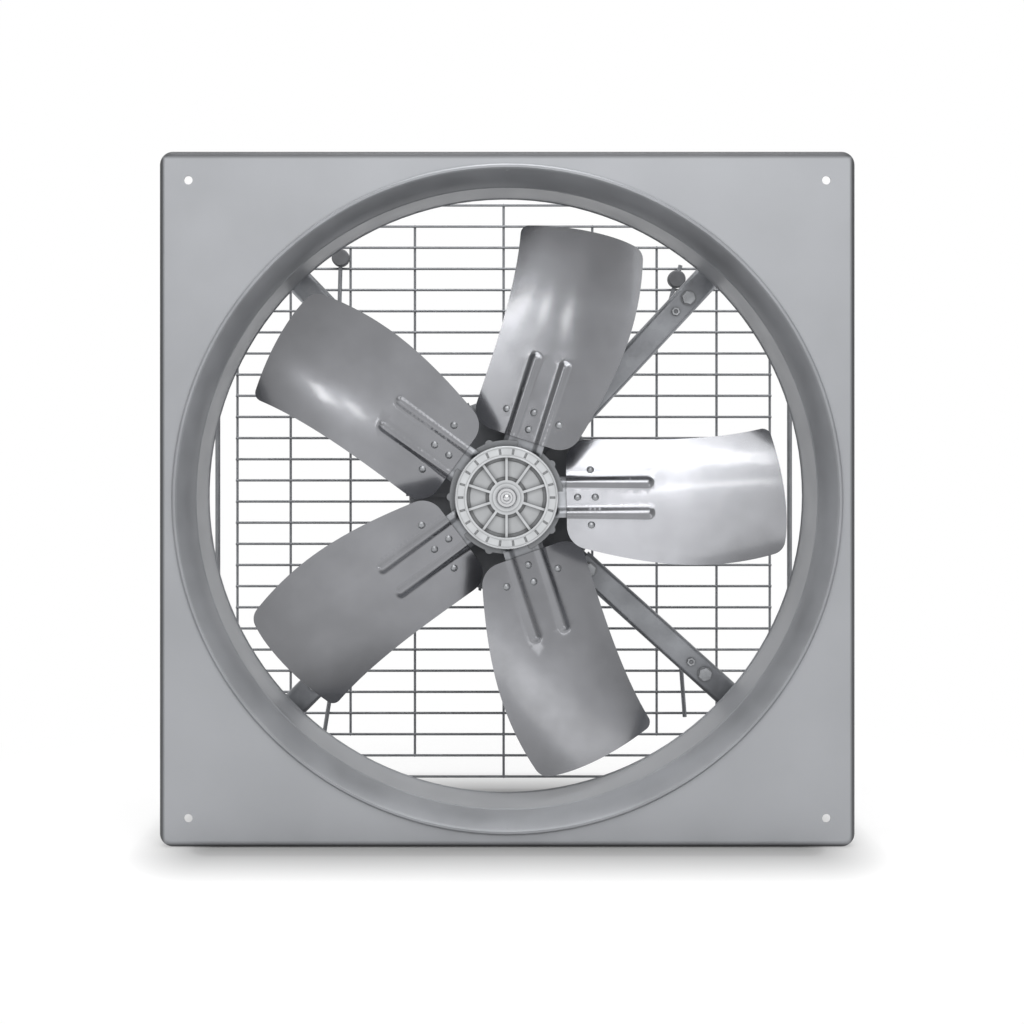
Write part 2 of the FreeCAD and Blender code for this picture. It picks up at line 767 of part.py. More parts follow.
def make_bell(face, rim, boss_end, bearing_start):
    """An end cover with a bearing boss; face, rim and boss_end are depths from outside to inside."""
    inward = 1 if rim > face else -1

    def between(radius, start, end):
        return cylinder(radius, min(start, end), max(start, end))

    cover = between(motor_radius, face, rim)
    rounded = edges_at_depth(cover, face)
    cover = cover.makeFillet(bell_depth * 0.5, rounded)
    cover = cover.cut(between(motor_bore_radius - bell_wall, face + inward * bell_wall, rim + inward))
    boss_inner = bearing_start + bearing_width if inward > 0 else bearing_start
    rib_span = sorted((face - inward * bell_rib_height, face + inward * bell_wall))
    rib = block((bell_boss_radius - 1, bell_rib_outer), rib_span, (-bell_rib_width / 2, bell_rib_width / 2))
    ribs = [turned(rib, 360 / bell_rib_count * step) for step in range(bell_rib_count)]
    cover = fused([cover, between(bell_boss_radius, boss_end, boss_inner)] + ribs)
    cover = cover.cut(cylinder(bearing_outer_radius + bearing_fit, bearing_start, bearing_start + bearing_width))
    cover = cover.cut(between(shaft_radius + shaft_hole_gap, boss_end - inward, boss_inner + inward))
    for x, z in around_circle(bell_screw_circle, strut_angles.values()):
        hole_start = min(face, rim) - 1
        hole_end = max(face, rim) + 1
        cover = cover.cut(cylinder(bell_screw_radius + bolt_hole_gap, hole_start, hole_end, x, z))
        spot_start, spot_end = sorted((face - inward, face + inward * bell_depth * 0.5))
        cover = cover.cut(cylinder(bell_screw_head_radius + 0.3, spot_start, spot_end, x, z))
    return cover.Solids[0]


def make_bell_screws():
    screws = []
    seat_inset = bell_depth * 0.5
    front_seat = front_bell_face + seat_inset
    rear_seat = rear_bell_face - seat_inset
    for x, z in around_circle(bell_screw_circle, strut_angles.values()):
        for seat, head_end, tip in ((front_seat, front_seat - bell_screw_head, motor_front + bell_screw_length - 1),
                                    (rear_seat, rear_seat + bell_screw_head, motor_rear - bell_screw_length + 1)):
            head = cylinder(bell_screw_head_radius, min(seat, head_end), max(seat, head_end), x, z)
            shank = cylinder(bell_screw_radius, min(seat, tip), max(seat, tip), x, z)
            screws.append(head.fuse(shank).removeSplitter())
    return screws


def make_stator_core():
    return tube(motor_bore_radius - stator_fit, stator_inner_radius, stator_front, stator_rear)


def make_winding(start, end):
    ring = tube(winding_outer, winding_inner, start, end)
    outer_end = start if end == stator_front else end
    return ring.makeFillet(winding_round, edges_at_depth(ring, outer_end))


def make_rotor_core():
    return tube(stator_inner_radius - air_gap, shaft_radius + shaft_fit, stator_front, stator_rear)


def make_bearing(start):
    """The outer ring, the inner ring and the balls of one ball bearing."""
    end = start + bearing_width
    middle = (start + end) / 2
    pitch = (shaft_radius + bearing_outer_radius) / 2
    groove = Part.makeTorus(pitch, bearing_ball_radius + bearing_ball_gap, Vector(0, middle, 0), AXIS)
    outer = tube(bearing_outer_radius, bearing_outer_radius - bearing_ring_wall, start, end).cut(groove)
    inner = tube(shaft_radius + bearing_ring_wall, shaft_radius + shaft_fit, start, end).cut(groove)
    angles = [360 / bearing_ball_count * step for step in range(bearing_ball_count)]
    balls = [Part.makeSphere(bearing_ball_radius, Vector(x, middle, z)) for x, z in around_circle(pitch, angles)]
    return outer, inner, balls


# Struts

def make_strut_arm():
    half = strut_width / 2
    reach = (strut_inner_reach, strut_outer_reach)
    arm = block(reach, (strut_front, strut_back), (-half, half))
    outer_bends = [edge for edge in edges_at_depth(arm, strut_front)
                   if abs(edge.tangentAt(edge.FirstParameter).x) > 0.9]
    arm = arm.makeFillet(strut_bend, outer_bends)
    inner_half = half - strut_sheet
    arm = arm.cut(block((reach[0] - 1, reach[1] + 1), (strut_web_back, strut_back + 1), (-inner_half, inner_half)))
    for place, radius in [(ear_bolt_reach, ear_bolt_radius), (leg_rod_reach, leg_rod_radius)]:
        arm = arm.cut(cylinder(radius + bolt_hole_gap, strut_front - 1, strut_web_back + 1, place))
    for place in strut_bolt_reaches:
        arm = arm.cut(cylinder(ear_bolt_radius + bolt_hole_gap, strut_front - 1, strut_web_back + 1, place))
    return arm


def make_strut_leg():
    """A Z-shaped bracket: a foot on the panel's back, an upright and a flange behind the arm's web."""
    half = leg_width / 2
    profile = Part.makePolygon([
        Vector(leg_flange_start, strut_web_back, -half),
        Vector(leg_upright, strut_web_back, -half),
        Vector(leg_upright, panel_sheet, -half),
        Vector(leg_upright + leg_foot_length, panel_sheet, -half),
        Vector(leg_upright + leg_foot_length, panel_sheet + leg_sheet, -half),
        Vector(leg_upright + leg_sheet, panel_sheet + leg_sheet, -half),
        Vector(leg_upright + leg_sheet, leg_flange_back, -half),
        Vector(leg_flange_start, leg_flange_back, -half),
        Vector(leg_flange_start, strut_web_back, -half),
    ])
    leg = Part.Face(profile).extrude(Vector(0, 0, leg_width))
    rear_bend = Vector(leg_upright + leg_sheet, leg_flange_back, 0)
    foot_bend = Vector(leg_upright, panel_sheet, 0)
    bends = [edge for edge in leg.Edges
             if abs(edge.tangentAt(edge.FirstParameter).z) > 0.9
             and min(edge.CenterOfMass.distanceToPoint(bend) for bend in (rear_bend, foot_bend)) < 0.1]
    leg = leg.makeFillet(leg_bend, bends)
    for place in strut_bolt_reaches:
        leg = leg.cut(cylinder(ear_bolt_radius + bolt_hole_gap, strut_web_back - 1, leg_flange_back + 1, place))
    return leg


def make_hex_bolt(place, grip_end):
    """A hex bolt with its washer under the head, through the arm's web to its nut."""
    washer_front = strut_front - bolt_washer_height
    head = hexagon(bolt_head_across, washer_front - bolt_head_height, washer_front, place)
    washer = cylinder(bolt_washer_radius, washer_front, strut_front, place)
    shank_end = grip_end + nut_height + bolt_end_beyond_nut
    shank = cylinder(ear_bolt_radius, washer_front, shank_end, place)
    return fused([head, washer, shank])


def make_nut(place, start):
    nut = hexagon(bolt_head_across, start, start + nut_height, place)
    return nut.cut(cylinder(ear_bolt_radius + shaft_fit, start - 1, start + nut_height + 1, place))


# Wire guard

def guard_row_height(row):
    """Height of a row of the grille, counted from 0 at the bottom."""
    return row * guard_row_pitch - guard_top_row


def make_guard_wires():
    wires = []
    widest = max(guard_upright_places) + guard_wire_radius
    for row in range(guard_row_count):
        start = Vector(-widest, guard_depth, guard_row_height(row))
        wires.append(Part.makeCylinder(guard_wire_radius, 2 * widest, start, Vector(1, 0, 0)))
    for number, place in enumerate(guard_upright_places):
        if number < len(guard_upright_rows_left_out):
            top = guard_top_row - guard_upright_rows_left_out[number] * guard_row_pitch + guard_wire_radius
        else:
            top = guard_frame_half_height + guard_frame_radius * 0.5
        for x in sorted({-place, place}):
            start = Vector(x, guard_upright_depth, -top)
            wires.append(Part.makeCylinder(guard_wire_radius, 2 * top, start, Vector(0, 0, 1)))
    return wires[0].multiFuse(wires[1:])


def make_guard_frame():
    wide = guard_frame_half_width
    high = guard_frame_half_height
    corners = [(wide, high), (-wide, high), (-wide, -high), (wide, -high)]
    points = [Vector(0, guard_frame_depth, high)]
    points += [Vector(x, guard_frame_depth, z) for x, z in corners[1:] + corners[:1]]
    points.append(Vector(0, guard_frame_depth, high))
    return bent_rod(points, guard_frame_radius, guard_frame_corner)


def leg_rod_corner(corner):
    """Where the leg at one corner bends from the strut to the grille."""
    angle = math.radians(strut_angles[corner])
    return Vector(leg_rod_reach * math.cos(angle), leg_rod_depth, leg_rod_reach * math.sin(angle))


def leg_rod_end(corner):
    height = guard_row_height(leg_rod_last_rows[corner]) + leg_rod_past_row
    return Vector(leg_rod_rear_places[corner], leg_rod_depth, math.copysign(height, leg_rod_corner(corner).z))


def make_guard_leg(corner):
    bend = leg_rod_corner(corner)
    start = Vector(bend.x, strut_front - leg_stud_height, bend.z)
    return bent_rod([start, bend, leg_rod_end(corner)], leg_rod_radius, leg_rod_bend)


def make_leg_nut(start):
    nut = hexagon(leg_nut_across, start, start + leg_nut_height, leg_rod_reach)
    return nut.cut(cylinder(leg_rod_radius + shaft_fit, start - 1, start + leg_nut_height + 1, leg_rod_reach))


def make_guard_buffer(corner):
    """A rubber disc that faces the inlet, pushed on an upper leg between two rows of the grille."""
    bend = leg_rod_corner(corner)
    slope = leg_rod_end(corner).sub(bend).normalize()
    rise = guard_row_height(buffer_rows[corner]) - bend.z
    middle = bend.add(Vector(slope).multiply(rise / slope.z))
    half = buffer_length / 2
    buffer = cylinder(buffer_radius, leg_rod_depth - half, leg_rod_depth + half, middle.x, middle.z)
    buffer = buffer.makeFillet(buffer_radius * 0.2, edges_at_depth(buffer, leg_rod_depth - half))
    below = middle.sub(Vector(slope).multiply(2 * buffer_radius))
    return buffer.cut(Part.makeCylinder(leg_rod_radius + buffer_fit, 4 * buffer_radius, below, slope))


# Terminal box

def lid_screw_places():
    depths = (box_front + lid_screw_inset, box_rear - lid_screw_inset)
    heights = (-box_half_width + lid_screw_inset, box_half_width - lid_screw_inset)
    return [(depth, height) for depth in depths for height in heights]


def side_cylinder(radius, start, end, depth, height):
    return Part.makeCylinder(radius, end - start, Vector(start, depth, height), Vector(1, 0, 0))


def make_terminal_box():
    lid_seat = box_reach - lid_thickness
    box = block((0, lid_seat), (box_front, box_rear), (-box_half_width, box_half_width))
    floor = motor_radius + box_wall
    hollow = block((floor, lid_seat + 1), (box_front + box_wall, box_rear - box_wall),
                   (-box_half_width + box_wall, box_half_width - box_wall))
    box = box.cut(hollow).cut(cylinder(motor_radius + box_saddle_gap, box_front - 1, box_rear + 1))
    posts = [side_cylinder(lid_post_radius, floor - 1, lid_seat, depth, height)
             for depth, height in lid_screw_places()]
    box = fused([box] + posts)
    for depth, height in lid_screw_places():
        box = box.cut(side_cylinder(lid_screw_radius + shaft_fit, floor + 4, lid_seat + 1, depth, height))
    middle = (box_front + box_rear) / 2
    gland_x = (floor + lid_seat) / 2
    gland_hole = Part.makeCylinder(gland_radius + gland_fit, box_wall + 2,
                                   Vector(gland_x, middle, -box_half_width - 1), Vector(0, 0, 1))
    return box.cut(gland_hole)


def make_terminal_lid():
    lid = block((box_reach - lid_thickness, box_reach), (box_front, box_rear), (-box_half_width, box_half_width))
    long_edges = [edge for edge in lid.Edges if abs(edge.CenterOfMass.x - box_reach) < 1e-4]
    lid = lid.makeChamfer(1.0, long_edges)
    for depth, height in lid_screw_places():
        lid = lid.cut(side_cylinder(lid_screw_radius + bolt_hole_gap, 0, box_reach + 1, depth, height))
    return lid


def make_terminal_screws():
    screws = []
    for depth, height in lid_screw_places():
        head = side_cylinder(lid_screw_head_radius, box_reach, box_reach + lid_screw_head, depth, height)
        head = head.makeFillet(lid_screw_head * 0.5, [head.Edges[0]])
        shank = side_cylinder(lid_screw_radius, motor_radius + box_wall + 6, box_reach + 0.5, depth, height)
        screws.append(head.fuse(shank).removeSplitter())
    return screws


def make_cable_gland():
    """Hung on the box's underside: a nut, a tapered nose and a hollow stem through the wall."""
    middle = (box_front + box_rear) / 2
    gland_x = (motor_radius + box_wall + box_reach - lid_thickness) / 2
    seat = -box_half_width
    nut = hexagon(gland_nut_across, 0, gland_nut_height)
    nose = Part.makeCone(gland_nose_radius, gland_nose_radius * 0.75, gland_nose_length,
                         Vector(0, gland_nut_height - 0.01, 0), AXIS)
    stem = cylinder(gland_radius, -box_wall - 4, 1)
    gland = fused([nut, nose, stem])
    gland = gland.cut(cylinder(gland_bore_radius, -box_wall - 5, gland_nut_height + gland_nose_length + 1))
    gland.rotate(ORIGIN, Vector(1, 0, 0), -90)
    gland.translate(Vector(gland_x, middle, seat))
    return gland


def make_run_capacitor():
    middle = (box_front + box_rear) / 2
    centre_x = motor_radius + box_wall + capacitor_radius
    low = box_half_width - box_wall - capacitor_top_gap - capacitor_length
    can = Part.makeCylinder(capacitor_radius, capacitor_length, Vector(centre_x, middle, low), Vector(0, 0, 1))
    return can.makeFillet(2.0, [can.Edges[0]])


# Write every piece

def save(name, *solids):
    shape = solids[0] if len(solids) == 1 else Part.makeCompound(list(solids))
    shape.exportStep("parts/" + name + ".step")


def save_frame():
    save("panel", make_panel())
    save("inlet_ring", make_inlet_ring())
    arm = make_strut_arm()
    leg = make_strut_leg()
    for name, angle in strut_angles.items():
        save("strut_arm_" + name, turned(arm, angle))
        save("strut_leg_" + name, turned(leg, angle))
    angles = strut_angles.values()
    outer_bolts = [make_hex_bolt(place, leg_flange_back) for place in strut_bolt_reaches]
    outer_nuts = [make_nut(place, leg_flange_back) for place in strut_bolt_reaches]
    save("strut_bolts", *[turned(bolt, angle) for bolt in outer_bolts for angle in angles])
    save("strut_nuts", *[turned(nut, angle) for nut in outer_nuts for angle in angles])
    ear_bolt = make_hex_bolt(ear_bolt_reach, ear_back)
    ear_nut = make_nut(ear_bolt_reach, ear_back)
    save("motor_ear_bolts", *[turned(ear_bolt, angle) for angle in angles])
    save("motor_ear_nuts", *[turned(ear_nut, angle) for angle in angles])


def save_guard():
    save("guard_wires", make_guard_wires())
    save("guard_frame", make_guard_frame())
    save("guard_legs", *[make_guard_leg(corner) for corner in strut_angles])
    nuts = [make_leg_nut(strut_web_back), make_leg_nut(strut_front - leg_nut_height)]
    save("guard_leg_nuts", *[turned(nut, angle) for nut in nuts for angle in strut_angles.values()])
    save("guard_buffers", *[make_guard_buffer(corner) for corner in buffer_rows])


def save_motor():
    save("motor_body", make_motor_body())
    front_boss = front_bell_face - bell_boss_length
    rear_boss = rear_bell_face + bell_boss_length
    save("motor_front_bell", make_bell(front_bell_face, motor_front, front_boss, front_bearing_start))
    save("motor_rear_bell", make_bell(rear_bell_face, motor_rear, rear_boss, rear_bearing_start))
    save("bell_screws", *make_bell_screws())
    save("stator_core", make_stator_core())
    save("stator_windings", make_winding(stator_front - winding_length, stator_front),
         make_winding(stator_rear, stator_rear + winding_length))
    for name, start in (("front_bearing", front_bearing_start), ("rear_bearing", rear_bearing_start)):
        outer, inner, balls = make_bearing(start)
        save(name + "_outer", outer)
        save(name + "_inner", inner)
        save(name + "_balls", *balls)
    save("terminal_box", make_terminal_box())
    save("terminal_lid", make_terminal_lid())
    save("terminal_screws", *make_terminal_screws())
    save("cable_gland", make_cable_gland())
    save("run_capacitor", make_run_capacitor())


def save_rotor():
    arm_slot = make_arm_slot()
    blade = make_blade()
    blade_arm = make_blade_arm()
    rivets = [make_rivet(reach, side) for reach, side in rivet_places()]
    for number, angle in enumerate(blade_angles(), start=1):
        save("blade_" + str(number), turned(blade, angle))
        save("blade_arm_" + str(number), turned(blade_arm, angle))
    save("blade_rivets", *[turned(rivet, angle) for angle in blade_angles() for rivet in rivets])
    save("hub_front_disc", make_hub_front_disc(arm_slot))
    save("hub_rear_disc", make_hub_rear_disc(arm_slot))
    save("hub_screws", *make_hub_screws())
    save("shaft", make_shaft())
    save("shaft_key", key_block(0))
    save("shaft_washer", make_shaft_washer())
    save("shaft_screw", make_shaft_screw())
    save("rotor_core", make_rotor_core())


os.makedirs("parts", exist_ok=True)
save_frame()
save_guard()
save_motor()
save_rotor()
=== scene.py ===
import math
import bpy
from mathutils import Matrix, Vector


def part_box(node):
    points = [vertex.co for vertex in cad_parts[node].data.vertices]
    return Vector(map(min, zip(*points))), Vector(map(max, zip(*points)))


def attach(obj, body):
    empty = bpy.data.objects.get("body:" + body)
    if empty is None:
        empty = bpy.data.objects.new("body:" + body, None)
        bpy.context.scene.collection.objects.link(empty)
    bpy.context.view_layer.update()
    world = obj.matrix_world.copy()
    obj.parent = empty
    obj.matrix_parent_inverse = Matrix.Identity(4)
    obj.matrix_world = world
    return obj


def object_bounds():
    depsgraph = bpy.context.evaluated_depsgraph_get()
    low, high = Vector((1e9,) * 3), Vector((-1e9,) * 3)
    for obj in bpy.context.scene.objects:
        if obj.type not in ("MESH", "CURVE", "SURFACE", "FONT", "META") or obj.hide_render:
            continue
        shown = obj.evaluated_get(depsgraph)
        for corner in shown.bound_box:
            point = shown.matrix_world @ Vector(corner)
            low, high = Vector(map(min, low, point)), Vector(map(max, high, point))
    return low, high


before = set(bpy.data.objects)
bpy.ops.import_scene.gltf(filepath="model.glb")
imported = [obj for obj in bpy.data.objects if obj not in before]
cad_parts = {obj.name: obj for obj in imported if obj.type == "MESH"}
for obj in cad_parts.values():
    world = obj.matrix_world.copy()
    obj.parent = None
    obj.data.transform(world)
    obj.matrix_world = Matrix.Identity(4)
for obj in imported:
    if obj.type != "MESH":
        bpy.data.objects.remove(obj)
cad_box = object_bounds()

bl_info = {
    "name": "Square-panel exhaust fan",
    "version": (1, 0, 0),
    "blender": (4, 5, 0),
    "location": "View3D > Sidebar > Exhaust fan",
    "description": "Finishes, weld details, studio and camera for a square-panel exhaust fan",
    "category": "Object",
}

# Lengths are in metres, in the fan's own frame: X right, Y from inlet to outlet, Z up.
# A name that ends in _mm holds millimetres.
MM = 0.001

# The fan's own layout, as its solids have it.
STRUT_ANGLES = {"upper_right": 47.0, "upper_left": 134.0, "lower_left": 225.0, "lower_right": 318.0}
BLADE_COUNT = 5
GUARD_PITCH = 25.4 * MM
GUARD_WELD_DEPTH = 269.3 * MM
# How far each pair of upright guard wires stands from the middle, and how many level wires each one crosses.
GUARD_COLUMNS = ((0.0, 28), (106.6 * MM, 26), (184.0 * MM, 24), (256.0 * MM, 28), (320.0 * MM, 28))
LEG_FOOT_START = 396.0 * MM
LEG_FOOT_LENGTH = 24.0 * MM
LEG_HALF_WIDTH = 12.0 * MM
PANEL_BACK = 2.0 * MM

# The camera: the picture's width, and the pixel that lies straight ahead of the lens.
PICTURE_PIXELS = 1024
AHEAD_PIXEL_X = 477.0
AHEAD_PIXEL_Y = 431.0
SENSOR_WIDTH_MM = 36.0

# Brightness of the studio's walls, from straight in front of the fan (0) past its sides to behind it (1).
STUDIO_WALLS = ((0.0, 1.0), (0.03, 0.86), (0.1, 0.78), (0.2, 0.62), (0.42, 0.4), (0.8, 0.86))
# How much the floor is lifted to white, from beside the fan (0) to the end of its painted shadow (1).
PAINTED_SHADOW_FADE = ((0.0, 0.08), (0.2, 0.22), (0.27, 0.36), (0.92, 0.96), (1.0, 1.0))
FLOOR_WIDTH = 8.0
# Where the large lamps point, and where the window panes do.
FAN_MIDDLE = (0.0, 0.05, 0.0)
PANE_AIM = (0.0, 0.03, 0.1)
# Small bright panes that stand for windows, which the blades mirror: name, place, and width and height.
WINDOW_PANES = (
    ("left_window_wide", (-1.24, -1.17, 0.75), (0.2, 0.06)),
    ("left_window_middle", (-1.06, -1.33, 0.7), (0.07, 0.06)),
    ("left_window_narrow", (-0.9, -1.45, 0.66), (0.07, 0.06)),
    ("upper_window_wide", (0.35, -1.25, 1.32), (0.46, 0.12)),
    ("upper_window_narrow", (0.43, -1.39, 1.14), (0.3, 0.045)),
    ("low_window_wide", (-0.555, -0.469, -0.275), (0.035, 0.05)),
    ("low_window_narrow", (-0.495, -0.479, -0.287), (0.025, 0.035)),
)

# A noise texture's values lie mostly between these two.
NOISE_LOW = 0.3
NOISE_HIGH = 0.7


def linear(hex_colour):
    """An sRGB hex colour as linear red, green and blue."""
    parts = [int(hex_colour[i:i + 2], 16) / 255 for i in (1, 3, 5)]
    return tuple(p / 12.92 if p <= 0.04045 else ((p + 0.055) / 1.055) ** 2.4 for p in parts)


def colour_property(name, description, hex_colour):
    return bpy.props.FloatVectorProperty(
        name=name, description=description, default=linear(hex_colour),
        subtype="COLOR", size=3, min=0.0, max=1.0)


def length_property(name, description, millimetres):
    return bpy.props.FloatProperty(
        name=name, description=description, default=millimetres * MM, min=0.0, unit="LENGTH", precision=5)


def power_property(name, description, watts):
    return bpy.props.FloatProperty(name=name, description=description, default=watts, min=0.0, unit="POWER")


class FanColours(bpy.types.PropertyGroup):
    """Colours of the fan's finishes."""
    panel_paint: colour_property("Panel paint", "Silver-grey paint on the panel", "#B2B4B8")
    ring_paint: colour_property("Ring paint", "Silver-grey paint on the inlet ring", "#A6A8AC")
    blade_sheet: colour_property("Blade sheet", "Pressed aluminium of the blades", "#88898D")
    arm_sheet: colour_property("Arm sheet", "Zinc coat on the pressed steel of the blade arms", "#9EA0A4")
    hub_casting: colour_property("Hub casting", "Cast aluminium of the hub", "#CCCED0")
    # Darker than the hub: partly a duller casting, partly painted shade for its place behind the hub.
    backing_casting_shaded: colour_property("Backing casting", "Duller cast aluminium behind the hub", "#A6A8AB")
    strut_zinc: colour_property("Strut zinc", "Zinc coat on the struts", "#94969A")
    motor_paint: colour_property("Motor paint", "Dark grey paint on the motor", "#7A7C80")
    guard_coat: colour_property("Guard coat", "Grey coat on the guard's wires", "#94969A")
    fastener_zinc: colour_property("Fastener zinc", "Bright zinc on bolts and nuts", "#A9ABAE")
    rivet_zinc: colour_property("Rivet zinc", "Zinc on the blades' rivets", "#A2A4A7")
    bright_steel: colour_property("Bright steel", "Turned steel of the shaft and its screw", "#CFD0D2")
    rubber: colour_property("Rubber", "Dark rubber of the guard's buffers", "#76777A")
    plastic: colour_property("Plastic", "Black plastic of the cable gland", "#222325")
    copper: colour_property("Copper", "Varnished copper of the windings", "#B4693A")


class FanSizes(bpy.types.PropertyGroup):
    """Sizes of the details that are added to the fan."""
    nugget_radius: length_property("Nugget radius", "Radius of a weld where two guard wires cross", 2.3)
    bead_radius: length_property("Bead radius", "Radius of the weld bead beside a strut leg's foot", 2.6)
    bead_step: length_property("Bead step", "Distance between ripples of a weld bead", 2.4)


class FanStudio(bpy.types.PropertyGroup):
    """Where the camera stands and how strong the lamps are."""
    camera_distance: length_property("Camera distance", "From the panel's front to the camera", 1930.0)
    camera_left: length_property("Camera left", "How far the camera stands left of the fan's axis", 32.0)
    camera_height: length_property("Camera height", "How far the camera stands above the fan's axis", 72.0)
    focal_pixels: bpy.props.FloatProperty(
        name="Focal length", description="Focal length in picture pixels", default=1830.0)
    top_power: power_property("Top lamp", "Power of the soft lamp above the fan's front", 13.0)
    front_power: power_property("Front lamp", "Power of the wide lamp above the camera", 4.6)
    left_power: power_property("Left lamp", "Power of the soft lamp at the left", 0.6)
    right_power: power_property("Right lamp", "Power of the weak lamp at the right", 0.9)
    overhead_power: power_property("Overhead lamp", "Power of the lamp straight above the fan", 13.0)
    pane_glow: bpy.props.FloatProperty(
        name="Window glow", description="Brightness of the window panes that the blades mirror", default=7.0)


# Materials

def add(tree, kind, links=None, inputs=None, **settings):
    """Adds a node with its settings, its input values and its links."""
    node = tree.nodes.new(kind)
    for name, value in settings.items():
        setattr(node, name, value)
    for socket, value in (inputs or {}).items():
        node.inputs[socket].default_value = value
    for socket, source in (links or {}).items():
        tree.links.new(source, node.inputs[socket])
    return node


def start_material(name, metallic, coat=0.0, coat_roughness=0.03):
    """A new material with its shader, and the Object coordinates that its patterns read."""
    material = bpy.data.materials.new(name)
    material.use_nodes = True
    tree = material.node_tree
    shader = tree.nodes["Principled BSDF"]
    shader.inputs["Metallic"].default_value = metallic
    shader.inputs["Coat Weight"].default_value = coat
    shader.inputs["Coat Roughness"].default_value = coat_roughness
    place = add(tree, "ShaderNodeTexCoord").outputs["Object"]
    return material, tree, shader, place


def per_metre(size_mm):
    """A texture's scale at which its pattern has this size."""
    return 1 / (size_mm * MM)


def wave_scale(spacing_mm):
    """A wave texture's scale at which its lines are this far apart; at scale 1 that is a tenth of pi."""
    return math.pi / 10 / (spacing_mm * MM)


def shade(colour, factor):
    """A colour made lighter or darker, with full alpha."""
    return tuple(min(1.0, part * factor) for part in colour) + (1.0,)


def set_stops(ramp, stops):
    """Gives a colour ramp its grey levels, from first to last."""
    elements = ramp.color_ramp.elements
    for place, _ in stops[1:-1]:
        elements.new(place)
    for element, (place, level) in zip(elements, stops):
        element.position = place
        element.color = (level, level, level, 1.0)


def clouded_colour(tree, shader, place, colour, size_mm, spread, detail=3.0):
    """Soft lighter and darker clouds of one colour."""
    cloud = add(tree, "ShaderNodeTexNoise", {"Vector": place},
                {"Scale": per_metre(size_mm), "Detail": detail})
    ramp = add(tree, "ShaderNodeValToRGB", {"Fac": cloud.outputs["Fac"]})
    dark, light = ramp.color_ramp.elements
    dark.position = NOISE_LOW
    light.position = NOISE_HIGH
    dark.color = shade(colour, 1 - spread)
    light.color = shade(colour, 1 + spread)
    tree.links.new(ramp.outputs["Color"], shader.inputs["Base Color"])
    return ramp.outputs["Color"]


def clouded_roughness(tree, shader, place, low, high, size_mm):
    """Soft duller and shinier clouds."""
    cloud = add(tree, "ShaderNodeTexNoise", {"Vector": place}, {"Scale": per_metre(size_mm), "Detail": 4.0})
    span = add(tree, "ShaderNodeMapRange", {"Value": cloud.outputs["Fac"]},
               {"From Min": NOISE_LOW, "From Max": NOISE_HIGH, "To Min": low, "To Max": high})
    tree.links.new(span.outputs["Result"], shader.inputs["Roughness"])


def raised(tree, shader, height, depth_mm, strength):
    """Relief of this depth where the height is greatest."""
    bump = add(tree, "ShaderNodeBump", {"Height": height}, {"Strength": strength, "Distance": depth_mm * MM})
    tree.links.new(bump.outputs["Normal"], shader.inputs["Normal"])


def darkened(tree, shader, colour, *shares):
    """Multiplies a colour by shares that vary over the surface."""
    for share in shares:
        dim = add(tree, "ShaderNodeMix", {"A": colour, "B": share}, {"Factor": 1.0},
                  data_type="RGBA", blend_type="MULTIPLY")
        colour = dim.outputs[2]
    tree.links.new(colour, shader.inputs["Base Color"])


def painted_corner_shade(tree, reach_mm, darkest):
    """Painted shade: a share that darkens where surfaces meet and little ambient light reaches them."""
    shut_in = 0.35
    open_air = 0.9
    corners = add(tree, "ShaderNodeAmbientOcclusion", inputs={"Distance": reach_mm * MM})
    corner_shade = add(tree, "ShaderNodeMapRange", {"Value": corners.outputs["AO"]},
                {"From Min": shut_in, "From Max": open_air, "To Min": darkest, "To Max": 1.0})
    return corner_shade.outputs["Result"]


def painted_fold_shade(tree, place):
    """Painted shade: a share that darkens the panel's front folds, a little further in along the top one."""
    half_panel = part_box("panel")[1][0]
    fold_shade_begins = half_panel - 6.5 * MM
    fold_shade_ends = half_panel - 3.2 * MM
    top_fold_extra = 2.0 * MM
    darkest = 0.24
    front_ends = 6.0 * MM
    flange_begins = 12.0 * MM
    higher = add(tree, "ShaderNodeMapping", {"Vector": place}, {"Location": (0.0, 0.0, top_fold_extra)})
    far = add(tree, "ShaderNodeVectorMath", {0: higher.outputs["Vector"]}, operation="ABSOLUTE")
    axes = add(tree, "ShaderNodeSeparateXYZ", {"Vector": far.outputs["Vector"]})
    reach = add(tree, "ShaderNodeMath", {0: axes.outputs["X"], 1: axes.outputs["Z"]}, operation="MAXIMUM")
    fold = add(tree, "ShaderNodeMapRange", {"Value": reach.outputs[0]},
               {"From Min": fold_shade_begins, "From Max": fold_shade_ends, "To Min": 1.0, "To Max": darkest})
    flange = add(tree, "ShaderNodeMapRange", {"Value": axes.outputs["Y"]},
                 {"From Min": front_ends, "From Max": flange_begins})
    fold_shade_share = add(tree, "ShaderNodeMath", {0: fold.outputs["Result"], 1: flange.outputs["Result"]},
               operation="MAXIMUM")
    return fold_shade_share.outputs[0]


def sprayed_paint(name, colour):
    """Sprayed polyester on sheet steel: an even satin with faint clouds, a fine orange peel, and painted
    shade on its folds and in its corners.
    The peel is really about 1 mm and is drawn at 2.5 mm so that it shows."""
    peel_mm = 2.5
    material, tree, shader, place = start_material(name, metallic=0.45)
    tone = clouded_colour(tree, shader, place, colour, size_mm=90.0, spread=0.055)
    clouded_roughness(tree, shader, place, low=0.42, high=0.54, size_mm=45.0)
    peel = add(tree, "ShaderNodeTexNoise", {"Vector": place}, {"Scale": per_metre(peel_mm), "Detail": 2.0})
    raised(tree, shader, peel.outputs["Fac"], depth_mm=0.12, strength=0.12)
    # Painted shade where surfaces meet.
    corner_shade = painted_corner_shade(tree, reach_mm=10.0, darkest=0.65)
    # Painted shade on the panel's front folds.
    darkened(tree, shader, tone, painted_fold_shade(tree, place), corner_shade)
    return material


